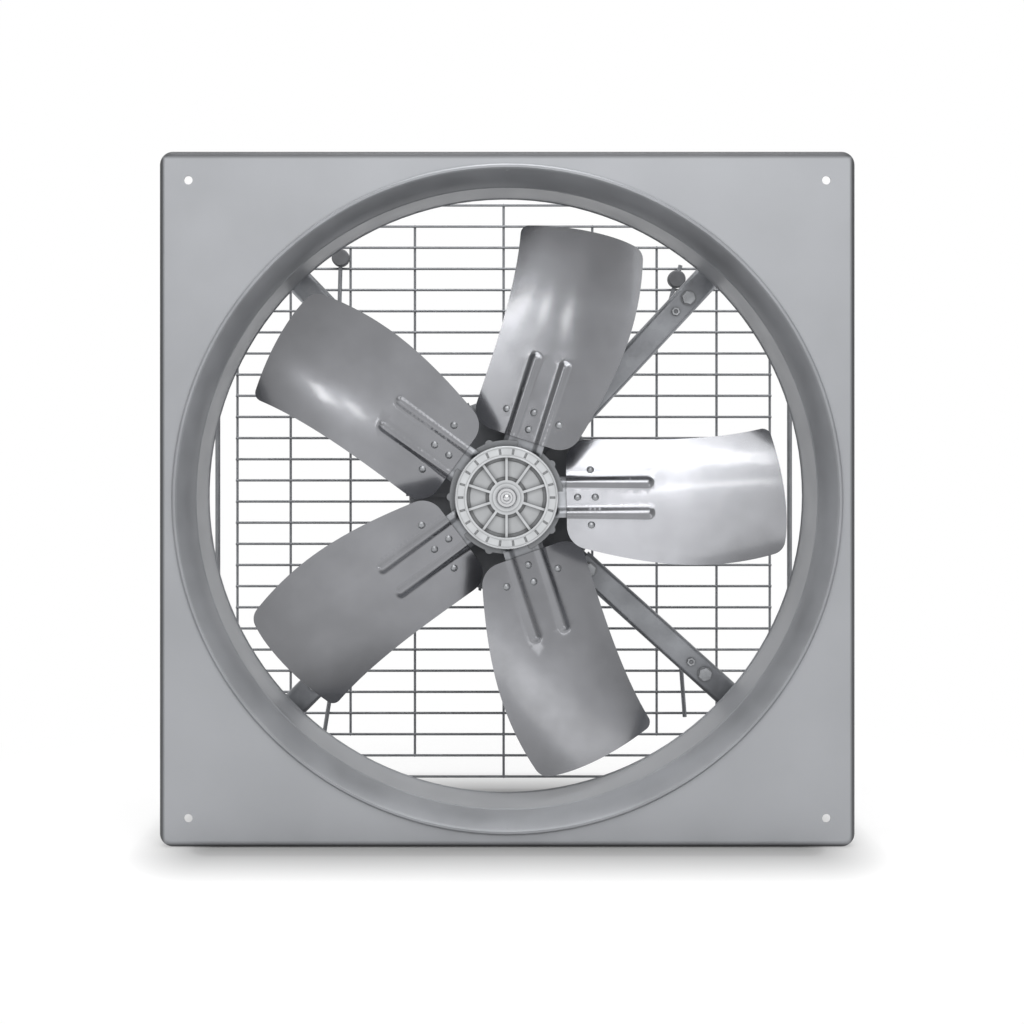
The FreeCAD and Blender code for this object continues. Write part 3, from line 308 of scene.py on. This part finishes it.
def spun_paint(name, colour):
    """Paint over a spun ring: a satin with soft smears and faint broad lines that run round it."""
    line_mm = 31.4
    material, tree, shader, place = start_material(name, metallic=0.35)
    clouded_colour(tree, shader, place, colour, size_mm=60.0, spread=0.1, detail=5.0)
    clouded_roughness(tree, shader, place, low=0.36, high=0.48, size_mm=30.0)
    lines = add(tree, "ShaderNodeTexWave", {"Vector": place},
                {"Scale": wave_scale(line_mm), "Distortion": 1.5, "Detail": 1.0},
                wave_type="BANDS", bands_direction="Y")
    raised(tree, shader, lines.outputs["Fac"], depth_mm=0.1, strength=0.06)
    return material


def painted_tip_shade(tree, place):
    """Painted shade: a share that darkens a blade towards its tip."""
    tip_shade_begins = 190.0 * MM
    tip_shade_ends = 300.0 * MM
    darkest = 0.62
    across = add(tree, "ShaderNodeVectorMath", {0: place}, {1: (1.0, 0.0, 1.0)}, operation="MULTIPLY")
    reach = add(tree, "ShaderNodeVectorMath", {0: across.outputs["Vector"]}, operation="LENGTH")
    tip_shade = add(tree, "ShaderNodeMapRange", {"Value": reach.outputs["Value"]},
               {"From Min": tip_shade_begins, "From Max": tip_shade_ends, "To Min": 1.0, "To Max": darkest})
    return tip_shade.outputs["Result"]


def pressed_aluminium(name, colour, angle):
    """Rolled aluminium, pressed and lacquered: a soft mirror under a clear film, with smudges, a grain along
    the blade and painted shade at its tip. The grain is really about 0.2 mm wide and is drawn at 1.2 mm."""
    grain_length_mm = 60.0
    grain_width_mm = 1.2
    material, tree, shader, place = start_material(name, metallic=1.0, coat=1.0, coat_roughness=0.08)
    tone = clouded_colour(tree, shader, place, colour, size_mm=55.0, spread=0.1)
    # Painted shade darkens the blade towards its tip.
    darkened(tree, shader, tone, painted_tip_shade(tree, place))
    clouded_roughness(tree, shader, place, low=0.16, high=0.24, size_mm=38.0)
    along = add(tree, "ShaderNodeMapping", {"Vector": place}, {"Rotation": (0.0, math.radians(angle), 0.0)})
    grain_scale = (per_metre(grain_length_mm), per_metre(grain_width_mm), per_metre(grain_width_mm))
    stretch = add(tree, "ShaderNodeMapping", {"Vector": along.outputs["Vector"]}, {"Scale": grain_scale})
    grain = add(tree, "ShaderNodeTexNoise", {"Vector": stretch.outputs["Vector"]},
                {"Scale": 1.0, "Detail": 2.0})
    raised(tree, shader, grain.outputs["Fac"], depth_mm=0.05, strength=0.05)
    return material


def cast_aluminium(name, colour):
    """Die-cast aluminium, tumbled: a dull shine with a fine sandy grain, drawn at 1.5 mm, painted shade
    in its recess and painted shade in the corners."""
    grit_mm = 1.5
    rim_depth = 50.0 * MM
    recess_depth = 58.0 * MM
    recess_shade = 0.66
    material, tree, shader, place = start_material(name, metallic=1.0)
    tone = clouded_colour(tree, shader, place, colour, size_mm=18.0, spread=0.08)
    # Painted shade: the casting is darker deeper in the hub's recess.
    axes = add(tree, "ShaderNodeSeparateXYZ", {"Vector": place})
    painted_recess_shade = add(tree, "ShaderNodeMapRange", {"Value": axes.outputs["Y"]},
                 {"From Min": rim_depth, "From Max": recess_depth, "To Min": 1.0, "To Max": recess_shade})
    # Painted shade in the hub's corners, where surfaces meet.
    corner_shade = painted_corner_shade(tree, reach_mm=7.0, darkest=0.45)
    darkened(tree, shader, tone, painted_recess_shade.outputs["Result"], corner_shade)
    clouded_roughness(tree, shader, place, low=0.36, high=0.52, size_mm=9.0)
    grit = add(tree, "ShaderNodeTexNoise", {"Vector": place}, {"Scale": per_metre(grit_mm), "Detail": 3.0})
    raised(tree, shader, grit.outputs["Fac"], depth_mm=0.2, strength=0.25)
    return material


def zinc_coat(name, colour, crystal_mm, low=0.3, high=0.48):
    """Zinc on steel: a grey metal whose flat crystals differ a little in shade, with soft stains four
    crystals wide and painted shade round its fasteners and in its corners."""
    stain_mm = 4 * crystal_mm
    crystal_dark = 0.94
    crystal_light = 1.05
    stain_dark = 0.78
    stain_light = 1.12
    material, tree, shader, place = start_material(name, metallic=0.9)
    crystals = add(tree, "ShaderNodeTexVoronoi", {"Vector": place}, {"Scale": per_metre(crystal_mm)})
    ramp = add(tree, "ShaderNodeValToRGB", {"Fac": crystals.outputs["Color"]})
    dark, light = ramp.color_ramp.elements
    dark.color = shade(colour, crystal_dark)
    light.color = shade(colour, crystal_light)
    stain = add(tree, "ShaderNodeTexNoise", {"Vector": place}, {"Scale": per_metre(stain_mm), "Detail": 4.0})
    stained = add(tree, "ShaderNodeMapRange", {"Value": stain.outputs["Fac"]},
                  {"From Min": 0.35, "From Max": 0.65, "To Min": stain_dark, "To Max": stain_light})
    # Painted shade round the fasteners and where surfaces meet.
    corner_shade = painted_corner_shade(tree, reach_mm=6.0, darkest=0.3)
    darkened(tree, shader, ramp.outputs["Color"], stained.outputs["Result"], corner_shade)
    clouded_roughness(tree, shader, place, low, high, size_mm=2 * crystal_mm)
    return material


def rough_paint(name, colour):
    """Brushed-on machine paint over a casting: dark, half dull, with the casting's 3 mm pimples under it."""
    pimple_mm = 3.0
    material, tree, shader, place = start_material(name, metallic=0.0)
    clouded_colour(tree, shader, place, colour, size_mm=25.0, spread=0.1)
    clouded_roughness(tree, shader, place, low=0.42, high=0.58, size_mm=15.0)
    pimples = add(tree, "ShaderNodeTexNoise", {"Vector": place},
                  {"Scale": per_metre(pimple_mm), "Detail": 3.0})
    raised(tree, shader, pimples.outputs["Fac"], depth_mm=0.3, strength=0.2)
    return material


def dipped_wire(name, colour):
    """Drawn wire dipped in paint: a grey half gloss that runs thicker and thinner every 20 mm."""
    material, tree, shader, place = start_material(name, metallic=0.3)
    clouded_colour(tree, shader, place, colour, size_mm=20.0, spread=0.1)
    clouded_roughness(tree, shader, place, low=0.32, high=0.5, size_mm=8.0)
    return material


def turned_steel(name, colour):
    """Turned steel: a bright metal with faint rings round the fan's axis, drawn far wider than the tool's
    real marks so that they show."""
    ring_mm = 18.85
    material, tree, shader, place = start_material(name, metallic=1.0)
    clouded_colour(tree, shader, place, colour, size_mm=6.0, spread=0.05)
    clouded_roughness(tree, shader, place, low=0.26, high=0.38, size_mm=5.0)
    rings = add(tree, "ShaderNodeTexWave", {"Vector": place},
                {"Scale": wave_scale(ring_mm), "Distortion": 0.6}, wave_type="RINGS", rings_direction="Y")
    raised(tree, shader, rings.outputs["Fac"], depth_mm=0.03, strength=0.06)
    return material


def moulded_rubber(name, colour):
    """Moulded rubber or plastic: dark and dull with a fine 1 mm skin."""
    skin_mm = 1.0
    material, tree, shader, place = start_material(name, metallic=0.0)
    clouded_colour(tree, shader, place, colour, size_mm=8.0, spread=0.12)
    clouded_roughness(tree, shader, place, low=0.55, high=0.75, size_mm=4.0)
    skin = add(tree, "ShaderNodeTexNoise", {"Vector": place}, {"Scale": per_metre(skin_mm), "Detail": 2.0})
    raised(tree, shader, skin.outputs["Fac"], depth_mm=0.1, strength=0.2)
    return material


def layered_metal(name, colour, layer_mm):
    """Stacked sheets or wound wire: a dull metal with lines across the fan's axis, drawn far wider than the
    real layers so that they show."""
    material, tree, shader, place = start_material(name, metallic=0.8)
    clouded_colour(tree, shader, place, colour, size_mm=10.0, spread=0.12)
    clouded_roughness(tree, shader, place, low=0.4, high=0.55, size_mm=6.0)
    layers = add(tree, "ShaderNodeTexWave", {"Vector": place}, {"Scale": wave_scale(layer_mm)},
                 wave_type="BANDS", bands_direction="Y")
    raised(tree, shader, layers.outputs["Fac"], depth_mm=0.2, strength=0.4)
    return material


def dress(material, *names):
    """Gives nodes of the model one material in place of the plain one they came with."""
    for name in names:
        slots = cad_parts[name].data.materials
        slots.clear()
        slots.append(material)


# Modelling helpers

def fresh_start():
    """Leaves object mode with nothing selected."""
    if bpy.context.object and bpy.context.object.mode != "OBJECT":
        bpy.ops.object.mode_set(mode="OBJECT")
    bpy.ops.object.select_all(action="DESELECT")


def repeat(count, step):
    """Repeats the active piece in a row and applies it."""
    row = bpy.context.object.modifiers.new("row", "ARRAY")
    row.use_relative_offset = False
    row.use_constant_offset = True
    row.constant_offset_displace = step
    row.count = count
    bpy.ops.object.modifier_apply(modifier=row.name)


def join_all(pieces, name):
    """Joins pieces into one smooth mesh whose object sits at the origin."""
    fresh_start()
    for piece in pieces:
        piece.select_set(True)
    bpy.context.view_layer.objects.active = pieces[0]
    if len(pieces) > 1:
        bpy.ops.object.join()
    whole = bpy.context.object
    bpy.ops.object.transform_apply(location=True, rotation=True, scale=True)
    bpy.ops.object.origin_set(type="ORIGIN_CURSOR")
    bpy.ops.object.shade_smooth()
    whole.name = name
    whole.data.name = name
    return whole


def finish_piece(piece, material, body):
    """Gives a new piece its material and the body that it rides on."""
    piece.data.materials.clear()
    piece.data.materials.append(material)
    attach(piece, body)
    fresh_start()


# Pieces

class FAN_OT_sheet_metal(bpy.types.Operator):
    """Paints the panel and the inlet ring"""
    bl_idname = "fan.sheet_metal"
    bl_label = "Panel and ring paint"

    def execute(self, context):
        colours = context.scene.fan_colours
        dress(sprayed_paint("satin_paint_on_pressed_steel", colours.panel_paint), "panel")
        dress(spun_paint("satin_paint_on_spun_steel", colours.ring_paint), "inlet_ring")
        return {"FINISHED"}


class FAN_OT_rotor(bpy.types.Operator):
    """Finishes the blades, their arms and rivets, the hub and the shaft"""
    bl_idname = "fan.rotor"
    bl_label = "Rotor finishes"

    def execute(self, context):
        colours = context.scene.fan_colours
        arm = zinc_coat("zinc_on_pressed_arms", colours.arm_sheet, crystal_mm=6.0)
        for number in range(1, BLADE_COUNT + 1):
            angle = 360.0 / BLADE_COUNT * (number - 1)
            sheet = pressed_aluminium("pressed_aluminium_blade_%d" % number, colours.blade_sheet, angle)
            dress(sheet, "blade_%d" % number)
            dress(arm, "blade_arm_%d" % number)
        dress(cast_aluminium("die_cast_aluminium_hub", colours.hub_casting), "hub_front_disc")
        # The rear disc's darker colour is partly painted shade.
        dress(cast_aluminium("die_cast_aluminium_backing_shaded", colours.backing_casting_shaded), "hub_rear_disc")
        rivet = zinc_coat("bright_zinc_on_rivets", colours.rivet_zinc, crystal_mm=3.0, low=0.32, high=0.45)
        dress(rivet, "blade_rivets")
        dress(turned_steel("turned_bright_steel", colours.bright_steel),
              "shaft", "shaft_key", "shaft_washer", "shaft_screw",
              "front_bearing_inner", "rear_bearing_inner")
        dress(layered_metal("stacked_core_sheets", colours.strut_zinc, layer_mm=12.57), "rotor_core")
        dress(zinc_coat("bright_zinc_on_hub_screws", colours.fastener_zinc, crystal_mm=3.0), "hub_screws")
        return {"FINISHED"}


class FAN_OT_struts(bpy.types.Operator):
    """Finishes the struts and every bolt, nut and screw of the frame"""
    bl_idname = "fan.struts"
    bl_label = "Strut finishes"

    def execute(self, context):
        colours = context.scene.fan_colours
        strut = zinc_coat("zinc_on_folded_struts", colours.strut_zinc, crystal_mm=9.0)
        for corner in STRUT_ANGLES:
            dress(strut, "strut_arm_" + corner, "strut_leg_" + corner)
        bright = zinc_coat("bright_zinc_on_fasteners", colours.fastener_zinc,
                           crystal_mm=3.0, low=0.25, high=0.4)
        dress(bright, "strut_bolts", "strut_nuts", "motor_ear_bolts", "motor_ear_nuts", "guard_leg_nuts",
              "bell_screws", "terminal_screws")
        return {"FINISHED"}


class FAN_OT_leg_welds(bpy.types.Operator):
    """Lays a rippled weld bead on each side of every strut leg's foot, on the back of the panel"""
    bl_idname = "fan.leg_welds"
    bl_label = "Leg welds"

    def execute(self, context):
        sizes = context.scene.fan_sizes
        beads = []
        for angle in STRUT_ANGLES.values():
            for side in (-LEG_HALF_WIDTH, LEG_HALF_WIDTH):
                beads.append(self.lay_bead(sizes, math.radians(angle), side))
        whole = join_all(beads, "leg_welds")
        paint = sprayed_paint("satin_paint_on_weld_beads", context.scene.fan_colours.panel_paint)
        finish_piece(whole, paint, "frame")
        return {"FINISHED"}

    def lay_bead(self, sizes, turn, side):
        """One row of flattened drops beside a leg's foot, turned to that leg's place."""
        drop_shape = (0.75, 0.8, 1.0)
        fresh_start()
        bpy.ops.mesh.primitive_ico_sphere_add(
            subdivisions=2, radius=sizes.bead_radius, location=(LEG_FOOT_START, PANEL_BACK, side))
        bead = bpy.context.object
        bead.scale = drop_shape
        bpy.ops.object.transform_apply(location=True, rotation=True, scale=True)
        repeat(int(LEG_FOOT_LENGTH / sizes.bead_step), (sizes.bead_step, 0, 0))
        bead.rotation_euler = (0, -turn, 0)
        bpy.ops.object.transform_apply(location=True, rotation=True, scale=True)
        return bead


class FAN_OT_motor(bpy.types.Operator):
    """Finishes the motor, its bearings and its terminal box"""
    bl_idname = "fan.motor"
    bl_label = "Motor finishes"

    def execute(self, context):
        colours = context.scene.fan_colours
        dress(rough_paint("dark_paint_on_motor_castings", colours.motor_paint),
              "motor_body", "motor_front_bell", "motor_rear_bell", "terminal_box", "terminal_lid")
        dress(moulded_rubber("moulded_black_plastic", colours.plastic), "cable_gland")
        dress(turned_steel("drawn_aluminium_can", colours.bright_steel), "run_capacitor")
        dress(layered_metal("stacked_stator_sheets", colours.strut_zinc, layer_mm=12.57), "stator_core")
        dress(layered_metal("varnished_copper_wire", colours.copper, layer_mm=9.42), "stator_windings")
        dress(turned_steel("ground_bearing_steel", colours.bright_steel), "front_bearing_outer",
              "front_bearing_balls", "rear_bearing_outer", "rear_bearing_balls")
        return {"FINISHED"}


class FAN_OT_guard(bpy.types.Operator):
    """Finishes the guard's frame, wires, legs and buffers"""
    bl_idname = "fan.guard"
    bl_label = "Guard finishes"

    def execute(self, context):
        colours = context.scene.fan_colours
        dress(dipped_wire("grey_dip_on_drawn_wire", colours.guard_coat),
              "guard_frame", "guard_wires", "guard_legs")
        dress(moulded_rubber("moulded_dark_rubber", colours.rubber), "guard_buffers")
        return {"FINISHED"}


class FAN_OT_guard_welds(bpy.types.Operator):
    """Puts a flattened weld where each upright wire of the guard crosses a level one"""
    bl_idname = "fan.guard_welds"
    bl_label = "Guard welds"

    def execute(self, context):
        radius = context.scene.fan_sizes.nugget_radius
        columns = []
        for reach, rows in GUARD_COLUMNS:
            for x in sorted({-reach, reach}):
                columns.append(self.weld_column(radius, x, rows))
        whole = join_all(columns, "guard_welds")
        coat = dipped_wire("grey_dip_on_guard_welds", context.scene.fan_colours.guard_coat)
        finish_piece(whole, coat, "frame")
        return {"FINISHED"}

    def weld_column(self, radius, x, rows):
        """One flattened nugget, repeated up an upright wire."""
        nugget_shape = (1.0, 0.55, 1.0)
        lowest = -(rows - 1) / 2 * GUARD_PITCH
        fresh_start()
        bpy.ops.mesh.primitive_ico_sphere_add(
            subdivisions=1, radius=radius, location=(x, GUARD_WELD_DEPTH, lowest))
        nugget = bpy.context.object
        nugget.scale = nugget_shape
        bpy.ops.object.transform_apply(location=True, rotation=True, scale=True)
        repeat(rows, (0, 0, GUARD_PITCH))
        return nugget


# Stage

def seen_directly(tree):
    """1 for rays from the camera, a mirror or glass, and 0 for light that the floor throws on the fan."""
    path = add(tree, "ShaderNodeLightPath")
    seen = add(tree, "ShaderNodeMath", {0: path.outputs["Is Camera Ray"], 1: path.outputs["Is Glossy Ray"]},
               operation="MAXIMUM")
    seen = add(tree, "ShaderNodeMath", {0: seen.outputs[0], 1: path.outputs["Is Transmission Ray"]},
               operation="MAXIMUM")
    return seen.outputs[0]


def clear_of_painted_shadow(tree, place):
    """How much the floor is lifted to white: little round the fan's foot, where a soft shadow is painted."""
    half_depth = 140.0 * MM
    foot = (310.0 * MM, half_depth, 0.0)
    # The painted shadow reaches less far at the sides than in front and behind.
    side_shrink = (1.7, 1.0, 0.0)
    painted_shadow_reach = 160.0 * MM
    middle = add(tree, "ShaderNodeMapping", {"Vector": place}, {"Location": (0.0, -half_depth, 0.0)})
    far = add(tree, "ShaderNodeVectorMath", {0: middle.outputs["Vector"]}, operation="ABSOLUTE")
    past = add(tree, "ShaderNodeVectorMath", {0: far.outputs["Vector"]}, {1: foot}, operation="SUBTRACT")
    beside = add(tree, "ShaderNodeVectorMath", {0: past.outputs["Vector"]}, operation="MAXIMUM")
    shrunk = add(tree, "ShaderNodeVectorMath", {0: beside.outputs["Vector"]}, {1: side_shrink},
                 operation="MULTIPLY")
    distance = add(tree, "ShaderNodeVectorMath", {0: shrunk.outputs["Vector"]}, operation="LENGTH")
    share = add(tree, "ShaderNodeMapRange", {"Value": distance.outputs["Value"]}, {"From Max": painted_shadow_reach})
    ramp = add(tree, "ShaderNodeValToRGB", {"Fac": share.outputs["Result"]})
    set_stops(ramp, PAINTED_SHADOW_FADE)
    return ramp.outputs["Color"]


def far_from_fan(tree, place):
    """0 round the fan and 1 where the floor is plain white."""
    centre_depth = 130.0 * MM
    white_begins = 500.0 * MM
    all_white = 850.0 * MM
    centred = add(tree, "ShaderNodeMapping", {"Vector": place}, {"Location": (0.0, -centre_depth, 0.0)})
    away = add(tree, "ShaderNodeVectorMath", {0: centred.outputs["Vector"]}, operation="LENGTH")
    fade = add(tree, "ShaderNodeMapRange", {"Value": away.outputs["Value"]},
               {"From Min": white_begins, "From Max": all_white}, interpolation_type="SMOOTHSTEP")
    return fade.outputs["Result"]


def white_floor():
    """Matt paper, pale grey with faint clouds, that takes the fan's real shadow and is lifted to white
    beyond a soft shadow painted round the fan's foot.
    """
    cloud_mm = 120.0
    dark_grey = 0.3
    light_grey = 0.33
    most_lift = 0.72
    material = bpy.data.materials.new("pale_studio_floor")
    material.use_nodes = True
    tree = material.node_tree
    tree.nodes.clear()
    place = add(tree, "ShaderNodeTexCoord").outputs["Object"]
    seen = seen_directly(tree)
    paper = add(tree, "ShaderNodeTexNoise", {"Vector": place}, {"Scale": per_metre(cloud_mm), "Detail": 2.0})
    tone = add(tree, "ShaderNodeMapRange", {"Value": paper.outputs["Fac"]},
               {"To Min": dark_grey, "To Max": light_grey})
    matt = add(tree, "ShaderNodeBsdfDiffuse", {"Color": tone.outputs["Result"]})
    # Painted shadow: the lift to white is held back round the fan's foot.
    lift = add(tree, "ShaderNodeMath", {0: seen, 1: clear_of_painted_shadow(tree, place)}, operation="MULTIPLY")
    part_lift = add(tree, "ShaderNodeMath", {0: lift.outputs[0]}, {1: most_lift}, operation="MULTIPLY")
    glow = add(tree, "ShaderNodeEmission", {"Strength": part_lift.outputs[0]})
    near = add(tree, "ShaderNodeAddShader", {0: matt.outputs[0], 1: glow.outputs[0]})
    white = add(tree, "ShaderNodeEmission", {"Strength": seen})
    blend = add(tree, "ShaderNodeMixShader",
                {0: far_from_fan(tree, place), 1: near.outputs[0], 2: white.outputs[0]})
    add(tree, "ShaderNodeOutputMaterial", {"Surface": blend.outputs[0]})
    return material


def make_world(scene):
    """A studio for the metal to mirror: bright in front of the fan, grey at its sides and pale behind it.
    The camera sees it white all round."""
    world = bpy.data.worlds.new("studio")
    world.use_nodes = True
    scene.world = world
    tree = world.node_tree
    tree.nodes.clear()
    direction = add(tree, "ShaderNodeTexCoord").outputs["Generated"]
    axes = add(tree, "ShaderNodeSeparateXYZ", {"Vector": direction})
    share = add(tree, "ShaderNodeMapRange", {"Value": axes.outputs["Y"]},
                {"From Min": -1.0, "From Max": 1.0})
    walls = add(tree, "ShaderNodeValToRGB", {"Fac": share.outputs["Result"]})
    set_stops(walls, STUDIO_WALLS)
    path = add(tree, "ShaderNodeLightPath")
    seen = add(tree, "ShaderNodeMath",
               {0: path.outputs["Is Camera Ray"], 1: path.outputs["Is Transmission Ray"]},
               operation="MAXIMUM")
    strength = add(tree, "ShaderNodeMath", {0: walls.outputs["Color"], 1: seen.outputs[0]},
                   operation="MAXIMUM")
    light = add(tree, "ShaderNodeBackground", {"Strength": strength.outputs[0]},
                {"Color": (1.0, 1.0, 1.0, 1.0)})
    add(tree, "ShaderNodeOutputWorld", {"Surface": light.outputs[0]})


def make_lamp(name, place, aim, size, power):
    """A rectangular lamp that faces a point on the fan."""
    data = bpy.data.lights.new(name, "AREA")
    data.shape = "RECTANGLE"
    data.size, data.size_y = size
    data.energy = power
    lamp = bpy.data.objects.new(name, data)
    bpy.context.scene.collection.objects.link(lamp)
    lamp.location = place
    lamp.rotation_euler = (Vector(aim) - Vector(place)).to_track_quat("-Z", "Y").to_euler()


class FAN_OT_stage(bpy.types.Operator):
    """Sets the floor, the studio light and the camera"""
    bl_idname = "fan.stage"
    bl_label = "Floor, light and camera"

    def execute(self, context):
        scene = context.scene
        scene.view_settings.view_transform = "Standard"
        self.lay_floor(context)
        make_world(scene)
        self.place_lamps(scene.fan_studio)
        self.place_camera(scene, scene.fan_studio)
        return {"FINISHED"}

    def lay_floor(self, context):
        fresh_start()
        floor_height = cad_box[0][2]
        bpy.ops.mesh.primitive_plane_add(size=FLOOR_WIDTH, location=(0, 0, floor_height))
        floor = context.object
        floor.name = "studio_floor"
        floor.data.materials.append(white_floor())

    def place_lamps(self, studio):
        make_lamp("top_lamp", place=(0.0, -1.0, 1.7), aim=FAN_MIDDLE, size=(2.0, 0.8),
                  power=studio.top_power)
        make_lamp("front_lamp", place=(0.2, -1.65, 1.03), aim=FAN_MIDDLE, size=(1.2, 1.0),
                  power=studio.front_power)
        make_lamp("left_lamp", place=(-1.27, -1.15, 0.6), aim=(0.0, 0.05, 0.15), size=(0.55, 0.3),
                  power=studio.left_power)
        make_lamp("right_lamp", place=(1.25, -1.4, -0.25), aim=(0.0, 0.05, -0.25), size=(1.0, 0.2),
                  power=studio.right_power)
        make_lamp("overhead_lamp", place=(0.0, 0.1, 2.0), aim=(0.0, 0.1, 0.0), size=(1.6, 0.6),
                  power=studio.overhead_power)
        for name, place, size in WINDOW_PANES:
            width, height = size
            make_lamp(name, place, PANE_AIM, size, power=studio.pane_glow * math.pi * width * height)

    def place_camera(self, scene, studio):
        """Looks straight along the fan's axis; the shift frames the panel as the photograph does."""
        data = bpy.data.cameras.new("photo_camera")
        data.sensor_width = SENSOR_WIDTH_MM
        data.lens = studio.focal_pixels / PICTURE_PIXELS * data.sensor_width
        data.shift_x = (PICTURE_PIXELS / 2 - AHEAD_PIXEL_X) / PICTURE_PIXELS
        data.shift_y = (AHEAD_PIXEL_Y - PICTURE_PIXELS / 2) / PICTURE_PIXELS
        camera = bpy.data.objects.new("photo_camera", data)
        scene.collection.objects.link(camera)
        camera.location = (-studio.camera_left, -studio.camera_distance, studio.camera_height)
        camera.rotation_euler = (math.radians(90), 0, 0)
        scene.camera = camera


class FAN_PT_sidebar(bpy.types.Panel):
    """Lists the fan's steps and settings"""
    bl_idname = "FAN_PT_sidebar"
    bl_label = "Exhaust fan"
    bl_space_type = "VIEW_3D"
    bl_region_type = "UI"
    bl_category = "Exhaust fan"

    def draw(self, context):
        layout = self.layout
        for step in STEPS:
            layout.operator(step.bl_idname)
        for group in (context.scene.fan_colours, context.scene.fan_sizes, context.scene.fan_studio):
            box = layout.box()
            for name in group.__annotations__:
                box.prop(group, name)


GROUPS = (FanColours, FanSizes, FanStudio)
STEPS = (FAN_OT_sheet_metal, FAN_OT_rotor, FAN_OT_struts, FAN_OT_leg_welds, FAN_OT_motor,
         FAN_OT_guard, FAN_OT_guard_welds, FAN_OT_stage)


def register():
    for kind in GROUPS + STEPS + (FAN_PT_sidebar,):
        bpy.utils.register_class(kind)
    bpy.types.Scene.fan_colours = bpy.props.PointerProperty(type=FanColours)
    bpy.types.Scene.fan_sizes = bpy.props.PointerProperty(type=FanSizes)
    bpy.types.Scene.fan_studio = bpy.props.PointerProperty(type=FanStudio)


def unregister():
    del bpy.types.Scene.fan_studio
    del bpy.types.Scene.fan_sizes
    del bpy.types.Scene.fan_colours
    for kind in reversed(GROUPS + STEPS + (FAN_PT_sidebar,)):
        bpy.utils.unregister_class(kind)


def main():
    register()
    bpy.ops.fan.sheet_metal()
    bpy.ops.fan.rotor()
    bpy.ops.fan.struts()
    bpy.ops.fan.leg_welds()
    bpy.ops.fan.motor()
    bpy.ops.fan.guard()
    bpy.ops.fan.guard_welds()
    bpy.ops.fan.stage()


if __name__ == "__main__":
    main()
